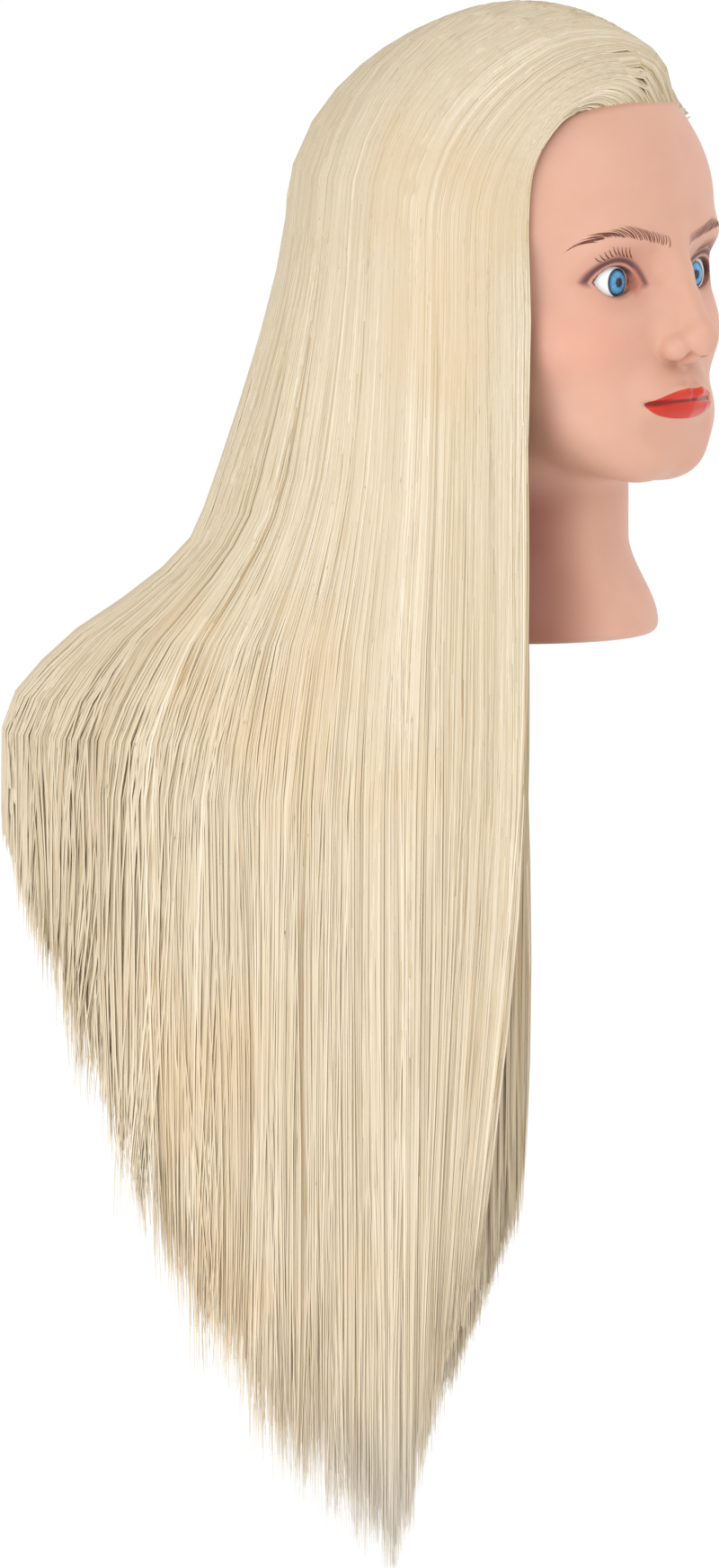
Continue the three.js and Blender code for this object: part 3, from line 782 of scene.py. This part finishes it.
class Paint:
    """A short way to write down a material's nodes. Its place is in metres."""

    def __init__(self, name, roughness=0.5, specular=0.5):
        self.material = bpy.data.materials.new(name)
        self.material.use_nodes = True
        self.tree = self.material.node_tree
        self.surface = self.tree.nodes["Principled BSDF"]
        self.put(self.surface.inputs["Roughness"], roughness)
        self.put(self.surface.inputs["Specular IOR Level"], specular)

    def put(self, socket, value):
        if isinstance(value, bpy.types.NodeSocket):
            self.tree.links.new(value, socket)
        else:
            socket.default_value = value

    def node(self, kind, values=(), out=0, **settings):
        made = self.tree.nodes.new(kind)
        for key, setting in settings.items():
            setattr(made, key, setting)
        for key, value in dict(values).items():
            self.put(made.inputs[key], value)
        return made.outputs[out]

    def field(self, name):
        return self.node("ShaderNodeAttribute", out="Fac", attribute_name=name)

    def place(self):
        return self.node("ShaderNodeTexCoord", out="Object")

    def stretched(self, across, along):
        values = {"Vector": self.place(), "Scale": (across, across, along)}
        return self.node("ShaderNodeMapping", values)

    def noise(self, vector, scale, detail=2.0):
        return self.node("ShaderNodeTexNoise", {"Vector": vector, "Scale": scale, "Detail": detail})

    def span(self, value, low, high, start=0.0, end=1.0):
        values = {"Value": value, "From Min": low, "From Max": high, "To Min": start, "To Max": end}
        return self.node("ShaderNodeMapRange", values, interpolation_type="SMOOTHSTEP")

    def calc(self, operation, a, b=0.0):
        return self.node("ShaderNodeMath", {0: a, 1: b}, operation=operation)

    def times(self, *factors):
        product = factors[0]
        for factor in factors[1:]:
            product = self.calc("MULTIPLY", product, factor)
        return product

    def vector(self, operation, a, b, out="Vector"):
        return self.node("ShaderNodeVectorMath", {0: a, 1: b}, out=out, operation=operation)

    def dot(self, a, direction):
        return self.vector("DOT_PRODUCT", a, [float(c) for c in direction], out="Value")

    def mix(self, amount, a, b):
        """Mixes two colours; those given by three screen values are turned into linear ones."""
        a, b = (colour(*c) if isinstance(c, tuple) else c for c in (a, b))
        return self.node("ShaderNodeMix", {0: amount, 6: a, 7: b}, out=2, data_type="RGBA")

    def bump(self, height, strength, distance):
        values = {"Height": height, "Strength": strength, "Distance": distance}
        self.put(self.surface.inputs["Normal"], self.node("ShaderNodeBump", values))

    def finish(self, base):
        self.put(self.surface.inputs["Base Color"], base)
        return self.material


def lid_paint(paint, folded):
    """Amounts of eye make-up: the liner, the band over the crease and its halo; and a brown-pink
    darkening at the inner corner of the eye.
    """
    q = paint.vector("SUBTRACT", folded, [float(c) for c in EYE_CENTRE])
    across, up = paint.dot(q, EYE_ACROSS), paint.dot(q, EYE_UP)
    front = paint.span(paint.dot(q, EYE_FORWARD), 0.0, 4.0)
    flat = paint.node("ShaderNodeCombineXYZ", {0: across, 1: up})
    arcs = []
    for rise, way in ((UPPER_LID_RISE, 1.0), (LOWER_LID_DROP, -1.0)):
        centre = (0.0, way * (rise - lid_radius(rise)), 0.0)
        reach = paint.vector("DISTANCE", flat, centre, out="Value")
        arcs.append(paint.calc("SUBTRACT", reach, lid_radius(rise)))
    edge = paint.calc("MAXIMUM", *arcs)
    upper = paint.span(up, -4.0, 1.0)
    corner = paint.span(across, -8.0, -11.5)
    line_width = paint.span(up, -3.0, 2.0, 0.75, 1.5)
    liner = (paint.span(edge, line_width, 0.35), paint.span(upper, 0.0, 1.0, 0.7, 0.95))
    band = (paint.span(edge, 1.7, 2.9), paint.span(edge, 6.6, 3.6), upper)
    halo = (paint.span(edge, 13.0, 1.0), paint.span(upper, 0.0, 1.0, 0.22, 0.45))
    inner = (corner, paint.span(edge, 5.0, 0.5))
    return [paint.times(*factors, front) for factors in (liner, band, halo, inner)]


def lip_paint(paint, folded):
    """Millimetres inside the lips' painted outline, and the amount of the line between them."""
    side, forward, height = paint.node("ShaderNodeSeparateXYZ", {0: folded}).node.outputs
    share = paint.calc("MINIMUM", paint.calc("DIVIDE", side, LIP_HALF_WIDTH), 1.0)
    dip = paint.calc("POWER", paint.calc("DIVIDE", side, 3.4), 2.0)
    dip = paint.times(paint.calc("EXPONENT", paint.times(dip, -1.0)), 1.4)
    arch = paint.times(paint.calc("SUBTRACT", 1.0, paint.calc("POWER", share, 1.5)), 7.9)
    top = paint.calc("ADD", paint.calc("SUBTRACT", arch, dip), LIP_TOP)
    bow = paint.calc("SQRT", paint.calc("SUBTRACT", 1.0, paint.calc("POWER", share, 2.2)))
    bottom = paint.calc("SUBTRACT", LIP_BOTTOM, paint.times(bow, 8.0))
    inside = paint.calc("SUBTRACT", top, height)
    for high, low in ((height, bottom), (LIP_BACK, forward), (LIP_HALF_WIDTH - 0.6, side)):
        inside = paint.calc("MINIMUM", inside, paint.calc("SUBTRACT", high, low))
    meeting = paint.span(side, 0.0, MOUTH_SLIT[1][0], MOUTH_SLIT[0][2], MOUTH_SLIT[1][2])
    gap = paint.calc("ABSOLUTE", paint.calc("SUBTRACT", height, meeting))
    return inside, paint.span(gap, 1.3, 0.2)


def folded_place(paint):
    """The place in millimetres, with the two sides of the head folded together."""
    place = paint.vector("MULTIPLY", paint.place(), (1000.0, 1000.0, 1000.0))
    x, y, z = paint.node("ShaderNodeSeparateXYZ", {0: place}).node.outputs
    return paint.node("ShaderNodeCombineXYZ", {0: paint.calc("ABSOLUTE", x), 1: y, 2: z})


def skin_material():
    paint = Paint("vinyl_skin", 0.46, 0.4)
    folded = folded_place(paint)
    liner, band, halo, inner = lid_paint(paint, folded)
    lip_inside, lip_line = lip_paint(paint, folded)
    mottle = paint.noise(paint.place(), 35.0)
    base = paint.mix(paint.span(mottle, 0.35, 0.7), (208, 160, 138), (205, 156, 134))
    shades = [
        (paint.times(paint.field("blush"), 0.3), (226, 150, 130)),
        (paint.times(paint.field("scalp"), 0.75), (176, 132, 104)),
        (halo, (176, 112, 92)),
        (band, (98, 58, 60)),
        (liner, (84, 48, 44)),
        (inner, (182, 114, 100)),
        # Painted shadow of the hair on the skin beside it, darkest on the neck.
        (paint.times(paint.field("hair_shadow"), 0.8), (132, 68, 48)),
    ]
    for amount, shade in shades:
        base = paint.mix(amount, base, shade)
    lips = paint.mix(paint.span(mottle, 0.3, 0.7), (200, 52, 34), (186, 42, 28))
    lips = paint.mix(paint.times(lip_line, 0.8), lips, (96, 16, 14))
    base = paint.mix(paint.span(lip_inside, -0.3, 0.3), base, lips)
    gloss = paint.span(lip_inside, -0.3, 0.3, 0.46, 0.3)
    paint.put(paint.surface.inputs["Roughness"], gloss)
    paint.put(paint.surface.inputs["Subsurface Weight"], 0.08)
    paint.put(paint.surface.inputs["Subsurface Scale"], 0.004)
    paint.bump(paint.noise(paint.place(), 900.0), 0.12, 0.0004)
    return paint.finish(base)


def eye_material():
    paint = Paint("eye_plastic", 0.08, 0.6)
    ring = paint.field("ring")
    turn = paint.node("ShaderNodeCombineXYZ", {0: paint.field("turn")})
    white = paint.mix(paint.noise(paint.place(), 200.0), (250, 250, 250), (236, 238, 242))
    blue = paint.mix(paint.noise(turn, 9.0, 3.0), (18, 96, 168), (96, 184, 216))
    blue = paint.mix(paint.span(ring, 3.0, PUPIL_RADIUS), blue, (30, 80, 140))
    blue = paint.mix(paint.span(ring, IRIS_RADIUS - 2.4, IRIS_RADIUS - 0.5), blue, (12, 44, 78))
    base = paint.mix(paint.span(ring, IRIS_RADIUS - 0.25, IRIS_RADIUS + 0.25), blue, white)
    pupil = paint.span(ring, PUPIL_RADIUS + 0.25, PUPIL_RADIUS - 0.25)
    return paint.finish(paint.mix(pupil, base, (10, 10, 12)))


def brow_material():
    paint = Paint("brow_paint", 0.55, 0.3)
    grain = paint.noise(paint.place(), 500.0)
    return paint.finish(paint.mix(grain, (112, 58, 44), (86, 42, 34)))


def hair_material(name, shade):
    """Pale hair: toned by strand, streaked along it, warmer in patches and greyer at its tips."""
    paint = Paint(name, 0.38, 0.45)
    tone = paint.field("tone")
    streaks = paint.noise(paint.stretched(450.0, 6.0), 1.0, 3.0)
    patches = paint.noise(paint.place(), 9.0)
    height = paint.dot(paint.place(), (0.0, 0.0, 1.0))
    base = paint.mix(paint.span(tone, 0.0, 0.5), (180, 156, 117), (215, 200, 172))
    shades = [
        (paint.span(tone, 0.5, 1.0), (236, 225, 204)),
        (paint.span(streaks, 0.5, 0.8, 0.0, 0.3), (206, 184, 146)),
        (paint.span(patches, 0.5, 0.68, 0.0, 0.45), (214, 188, 148)),
        (paint.span(height, -0.34, -0.46, 0.0, 0.5), (210, 208, 206)),
        # Painted shade: shade darkens the hair towards tan, and the under layer's material is this
        # shaded copy.
        (shade, (186, 160, 122)),
    ]
    for amount, tint in shades:
        base = paint.mix(amount, base, tint)
    return paint.finish(base)


def plain_material(name, dark, light, roughness, scale, bump):
    paint = Paint(name, roughness)
    grain = paint.noise(paint.place(), scale, 3.0)
    paint.bump(grain, bump, 0.001)
    return paint.finish(paint.mix(grain, dark, light))


# ---------------------------------------------------------------- pieces of the head

def head_piece(material):
    step = 1.4 if FINE else 2.0
    low, high = (-92.0, -128.0, -4.0), (92.0, 98.0, 302.0)
    points, faces = surface_net(head_distance, low, high, step)
    points = settle(points)
    piece = add_mesh("head_skin", points, faces, material, fields=painted_fields(points))
    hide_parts("head_shell")


def inner_shape(node, depth, material, region=None):
    """A piece inside the head that follows its skin at a depth, over the base plate."""
    def distance(points):
        p = one_side(points)
        socket = np.hypot(p[..., 0], p[..., 1]) - SOCKET_RECESS[0] - 1.0
        socket = np.maximum(socket, p[..., 2] - SOCKET_RECESS[1] - 1.0)
        across, up, forward = eye_view(p)
        eye = np.maximum(almond(across, up) - 4.0, 3.0 - forward)
        d = np.maximum(bare_head(p) + depth, BASE_RECESS[1] + 1.0 - p[..., 2])
        d = np.maximum(np.maximum(d, -socket), -eye)
        return np.maximum(d, region(p)) if region else d
    points, faces = surface_net(distance, (-84.0, -120.0, 8.0), (84.0, 94.0, 300.0), 3.0)
    piece = add_mesh(node + "_body", points, faces, material)
    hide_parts(node)


def eye_piece(side, name, material):
    """A domed insert behind the lids, with the iris in the middle of its front."""
    spokes, bands = 72, 40
    turn = np.linspace(0.0, 2.0 * np.pi, spokes, endpoint=False)[:, None]
    lean = np.linspace(0.0, math.radians(68), bands)[None, :]
    ball = [-np.sin(lean) * np.cos(turn), -np.cos(lean) + 0.0 * turn, np.sin(lean) * np.sin(turn)]
    centre = EYE_CENTRE * np.array([side, 1.0, 1.0])
    points = (centre + (EYE_RADIUS - 0.1) * np.stack(ball, axis=-1)).reshape(-1, 3)
    around = 1.0 - np.abs(turn / np.pi - 1.0)
    ring, around = np.broadcast_arrays(EYE_RADIUS * np.sin(lean), around)
    piece = add_mesh(name + "_dome", points, grid_faces(spokes, bands, closed=True), material,
                     fields={"ring": ring, "turn": around})
    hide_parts(name)


def skin_front(x, z):
    """The skin's y in front of the face, at places given by x and z."""
    low = np.full(np.shape(x), -130.0)
    high = np.full(np.shape(x), -40.0)
    for _ in range(24):
        middle = (low + high) / 2.0
        p = np.stack([np.abs(x), middle, z], axis=-1).astype(np.float32)
        outside = bare_head(p) > 0
        low = np.where(outside, middle, low)
        high = np.where(outside, high, middle)
    return (low + high) / 2.0


STROKE_HEIGHT = 0.22


def strokes(name, starts, ends, bend, width, material):
    """Painted strokes on both sides of the face: thin ribbons that follow the skin."""
    t = np.linspace(0.0, 1.0, 7)
    path = lerp(starts[:, None], ends[:, None], t[None, :, None])
    along = unit(ends - starts)
    across = np.stack([-along[:, 1], along[:, 0]], axis=-1)
    path = path + across[:, None] * (bend * 4.0 * t * (1.0 - t))[None, :, None]
    half = 0.5 * width * (1.0 - t) ** 0.6 * np.minimum(1.0, 0.5 + 3.0 * t)
    edges = np.stack([path - across[:, None] * half[None, :, None],
                      path + across[:, None] * half[None, :, None]], axis=2)
    y = skin_front(edges[..., 0], edges[..., 1]) - STROKE_HEIGHT
    points = np.stack([edges[..., 0], y, edges[..., 1]], axis=-1).reshape(-1, 3)
    base = (np.arange(len(starts))[:, None] * len(t) + np.arange(len(t) - 1)) * 2
    faces = np.stack([base, base + 1, base + 3, base + 2], axis=-1).reshape(-1, 4)
    mirrored = points * np.array([-1.0, 1.0, 1.0])
    both = np.concatenate([points, mirrored])
    faces = np.concatenate([faces[:, ::-1], faces + len(points)])
    piece = add_mesh(name, both, faces, material)


def along_line(count, knots, line):
    """Places at even shares along a line of x, z points that lie at the shares in knots."""
    s = np.linspace(0.0, 1.0, count)
    return np.stack([np.interp(s, knots, values) for values in zip(*line)], axis=-1)


def brow_strokes(material):
    """Hairs painted along the brow, upright at its inner end and lying down at its outer end."""
    count, knots = 36, [0.0, 0.35, 0.7, 1.0]
    root = along_line(count, knots, [(8.4, 193.8), (24.0, 197.6), (40.5, 200.4), (48.0, 197.4)])
    tip = along_line(count, knots, [(9.3, 199.4), (32.5, 205.2), (49.0, 200.7), (54.5, 192.0)])
    jitter = 0.25 * rng.normal(size=(2, count, 2))
    strokes("brow_strokes", root + jitter[0], tip + jitter[1], 0.9, 0.48, material)


def lash_strokes(material):
    """Lashes painted above the crease of the upper lid."""
    knots = [0.0, 0.5, 1.0]
    root = along_line(9, knots, [(24.5, 188.4), (34.5, 190.4), (41.5, 187.4)])
    tip = along_line(9, knots, [(29.8, 194.6), (39.6, 195.4), (45.4, 190.0)])
    strokes("lash_strokes", root, tip, -0.4, 0.55, material)


# ---------------------------------------------------------------- pieces of hair

HANGING = ["hair_right_temple", "hair_right_side", "hair_right_rear", "hair_back_right",
           "hair_back_centre", "hair_back_left", "hair_left_rear"]
NAPE = ["hair_nape_right", "hair_nape_centre", "hair_nape_left"]
NAPE_START = 118.0
HANG_DEPTHS = [0.95, 0.98, 1.01]
CURTAIN_DEPTH = 0.95
CURTAIN_TOP = 205.0
CURTAIN_BOTTOM = -370.0
# The most strands that one piece holds.
LAYER_STRANDS = 1180


def hair_piece(node, paths, tones, material):
    """The strands that stand for one CAD section of hair, as layers of up to LAYER_STRANDS."""
    width = rng.uniform(0.6, 1.1, len(paths))
    layers = math.ceil(len(paths) / LAYER_STRANDS)
    for layer in range(layers):
        some = slice(layer, None, layers)
        points, faces, uv, tone, normals = strand_mesh(paths[some], tones[some], width[some])
        piece = add_mesh(f"{node}_strands_{layer + 1}", points, faces, material, uv,
                         {"tone": tone}, normals)
        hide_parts(node)


def share_out(nodes, start, paths, tones, material):
    """Gives each strand to the CAD section that it hangs in, by its angle round the head."""
    angle, _ = angles_of(unit(paths[:, -4] * np.array([1.0, 1.0, 0.0])))
    width = (BACK_EDGE - start) / len(nodes)
    section = np.clip(((angle - start) / width).astype(int), 0, len(nodes) - 1)
    for i, node in enumerate(nodes):
        hair_piece(node, paths[section == i], tones[section == i], material)


def hanging_hair(material):
    """The long hair from the front hairline, the parting and the crown."""
    each = 30 if FINE else 12
    groups = [
        strand_paths(front_locks(40, HANG_DEPTHS), each, 4.0, FRONT_RINGS, sink=1.0, contrast=0.18),
        strand_paths(part_locks(40, HANG_DEPTHS, 86.0, 152.0), each, 4.5),
        strand_paths(crown_locks(42, HANG_DEPTHS, 146.0, 230.0), each, 5.0),
    ]
    paths, tones = (np.concatenate(group) for group in zip(*groups))
    share_out(HANGING, FRONT_EDGE, paths, tones, material)


def left_hair(material):
    """The hair of the left side, in rows between the temple, at 0, and the parting, at 1."""
    each = 20 if FINE else 8
    rows = {"hair_left_side": [0.0, 0.2], "hair_left_temple": [0.4, 0.6],
            "hair_top_left": [0.8, 1.0]}
    for node, shares in rows.items():
        paths, tones = strand_paths(left_locks(22, shares, [0.9, 1.0]), each, 6.0, sink=1.0)
        hair_piece(node, paths, tones, material)


def nape_hair(material):
    each = 16 if FINE else 6
    locks = nape_locks(36, [0.05, 0.25, 0.45, 0.65])
    paths, tones = strand_paths(locks, each, 4.0, UNDER_RINGS)
    share_out(NAPE, NAPE_START, paths, tones, material)


def beside_parting(directions):
    """1 on the parting and 0 away from it."""
    corner = direction_of(*HAIRLINE_CORNER)
    across = unit(np.cross(corner, PART_END))
    ahead = directions @ unit(corner + unit(PART_END))
    return np.exp(-((directions @ across / 0.2) ** 2)) * smoothstep(ahead, 0.7, 0.85)


def cap_mass(node_names, material):
    """The rooted hair close to the scalp, under the loose strands, from crown to hairline."""
    columns, rows = 240, 60
    angle = np.linspace(0.0, 360.0, columns, endpoint=False)[:, None]
    share = np.linspace(0.0, 1.0, rows)[None, :]
    elevation = lerp(89.9, hairline_elevation(angle) + 3.0, share)
    angle, elevation = np.broadcast_arrays(angle, elevation)
    directions = direction_of(angle, elevation)
    grooves = 0.4 * np.sin(np.radians(angle * 60.0)) * smoothstep(share, 0.1, 0.4)
    from_edge = np.radians(elevation - hairline_elevation(angle)) * SCALP_RADIUS
    thick = (hair_thickness(angle, elevation) * 0.8 + grooves) * smoothstep(from_edge, 3.0, 36.0)
    thick = thick * (1.0 - beside_parting(directions)) + 0.2
    points = CROWN + directions * (skull_radius(angle, elevation) + thick)[..., None]
    uv = np.stack(np.broadcast_arrays(angle / 360.0, share), axis=-1).reshape(-1, 2)
    piece = add_mesh("hair_cap_mass", points.reshape(-1, 3), grid_faces(columns, rows, closed=True),
                     material, uv, {"tone": np.full(angle.shape, 0.4)})
    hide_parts(*node_names)


def curtain_mass(material):
    """The dense inner layer of the hanging hair: a grooved sheet that the outer strands cover."""
    columns, rows = 420, 64
    angle = np.linspace(FRONT_EDGE + 3.0, BACK_EDGE - 3.0, columns)[:, None]
    share = np.linspace(0.0, 1.0, rows)[None, :]
    short_by = 85.0 + 25.0 * rng.uniform(size=angle.shape)
    bottom = np.maximum(hair_end(angle, CURTAIN_DEPTH) + short_by, CURTAIN_BOTTOM)
    z = lerp(CURTAIN_TOP, bottom, share)
    angle = gathered(np.broadcast_to(angle, z.shape), z)
    groove = np.tile([[0.0], [0.7]], (columns // 2, 1))
    points = round_axis(angle, hanging_radius(angle, z, CURTAIN_DEPTH) - groove, z)
    across = np.linspace(0.0, 1.0, columns)[:, None]
    uv = np.stack(np.broadcast_arrays(across, share), axis=-1).reshape(-1, 2)
    tone = np.repeat(rng.uniform(0.25, 0.6, columns), rows)
    piece = add_mesh("hair_curtain_mass", points.reshape(-1, 3), grid_faces(columns, rows),
                     material, uv, {"tone": tone})


# ---------------------------------------------------------------- camera and lights

# Metres: the lights' distance from the head and the height they aim at, and the floor.
LIGHT_DISTANCE = 2.2
LIGHT_AIM = 0.1
FLOOR_HEIGHT = -0.9
FLOOR_HALF_SIZE = 60.0


def add_camera():
    across = Vector((math.cos(VIEW_TURN), -math.sin(VIEW_TURN), 0.0))
    away = Vector((math.sin(VIEW_TURN), math.cos(VIEW_TURN), 0.0))
    up = Vector((0.0, 0.0, math.cos(VIEW_RISE))) + away * math.sin(VIEW_RISE)
    back = Vector((0.0, 0.0, math.sin(VIEW_RISE))) - away * math.cos(VIEW_RISE)
    target = across * AIM_ACROSS + up * AIM_UP
    data = bpy.data.cameras.new("camera")
    data.sensor_width = SENSOR
    data.lens = SENSOR * VIEW_DISTANCE / VIEW_HEIGHT
    camera = bpy.data.objects.new("camera", data)
    turn = Matrix((across, up, back)).transposed().to_4x4()
    camera.matrix_world = Matrix.Translation((target + back * VIEW_DISTANCE) * MM) @ turn
    bpy.context.scene.collection.objects.link(camera)
    bpy.context.scene.camera = camera


def add_light(name, angle, elevation, power, size):
    """A soft square light, aimed at the head from a direction round it."""
    data = bpy.data.lights.new(name, "AREA")
    data.energy = power
    data.size = size
    light = bpy.data.objects.new(name, data)
    direction = Vector(direction_of(angle, elevation))
    light.location = direction * LIGHT_DISTANCE + Vector((0.0, 0.0, LIGHT_AIM))
    light.rotation_mode = "QUATERNION"
    light.rotation_quaternion = direction.to_track_quat("Z", "Y")
    bpy.context.scene.collection.objects.link(light)


def add_floor():
    """A plain pale floor, far enough below the ends of the hair to take no sharp shadow."""
    half = FLOOR_HALF_SIZE
    mesh = bpy.data.meshes.new("floor")
    corners = [(-half, -half, 0.0), (half, -half, 0.0), (half, half, 0.0), (-half, half, 0.0)]
    mesh.from_pydata(corners, [], [(0, 1, 2, 3)])
    paint = Paint("floor", 1.0, 0.0)
    paint.put(paint.surface.inputs["Emission Color"], colour(255, 255, 255))
    paint.put(paint.surface.inputs["Emission Strength"], 0.06)
    mesh.materials.append(paint.finish(colour(250, 250, 250)))
    floor = bpy.data.objects.new("floor", mesh)
    floor.location.z = FLOOR_HEIGHT
    bpy.context.scene.collection.objects.link(floor)


def add_studio():
    world = bpy.data.worlds.new("studio")
    world.use_nodes = True
    background = world.node_tree.nodes["Background"]
    background.inputs["Color"].default_value = (1.0, 1.0, 1.0, 1.0)
    background.inputs["Strength"].default_value = 1.0
    bpy.context.scene.world = world
    bpy.context.scene.view_settings.view_transform = "Standard"
    add_floor()
    add_light("key", 35.0, 42.0, 9.0, 1.2)
    add_light("side", 92.0, -8.0, 13.0, 1.4)
    add_light("rim", 300.0, 15.0, 2.0, 0.8)


# ---------------------------------------------------------------- build

def scalp_shell(p):
    """Negative in the rooted part of the scalp, a shell under the skin behind a leaning plane."""
    away = (p[..., 1:] - SCALP_PLACE) @ [math.cos(SCALP_SLOPE), math.sin(SCALP_SLOPE)]
    return np.maximum(-away, -(bare_head(p) + LINING_DEPTH + LINING_WALL))


def inner_pieces():
    """The glue lining and the foam core inside the head, and the plastic of its base."""
    glue = plain_material("root_glue", (200, 190, 165), (232, 226, 208), 0.5, 90.0, 0.5)
    foam = plain_material("rigid_foam", (222, 205, 150), (240, 226, 182), 0.95, 400.0, 0.6)
    plastic = plain_material("black_plastic", (30, 30, 32), (46, 46, 50), 0.5, 300.0, 0.15)
    inner_shape("foam_core", FOAM_DEPTH, foam)
    inner_shape("root_lock_lining", LINING_DEPTH, glue, scalp_shell)
    for node in ("neck_socket", "neck_base_plate"):
        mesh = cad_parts[node].data
        mesh.materials.clear()
        mesh.materials.append(plastic)


add_camera()
add_studio()
head_piece(skin_material())
eye_look = eye_material()
eye_piece(-1.0, "eye_right", eye_look)
eye_piece(1.0, "eye_left", eye_look)
brow_look = brow_material()
brow_strokes(brow_look)
lash_strokes(brow_look)
hair_look = hair_material("hair_fibre", 0.0)
# The under layer gets a copy of the hair darkened by painted shade, as hair lying in shadow under
# the loose strands.
shaded_under_look = hair_material("hair_fibre_shaded", 0.1)
cap_mass(["hair_crown", "hair_top_right"], shaded_under_look)
curtain_mass(shaded_under_look)
hanging_hair(hair_look)
left_hair(hair_look)
nape_hair(hair_look)
inner_pieces()
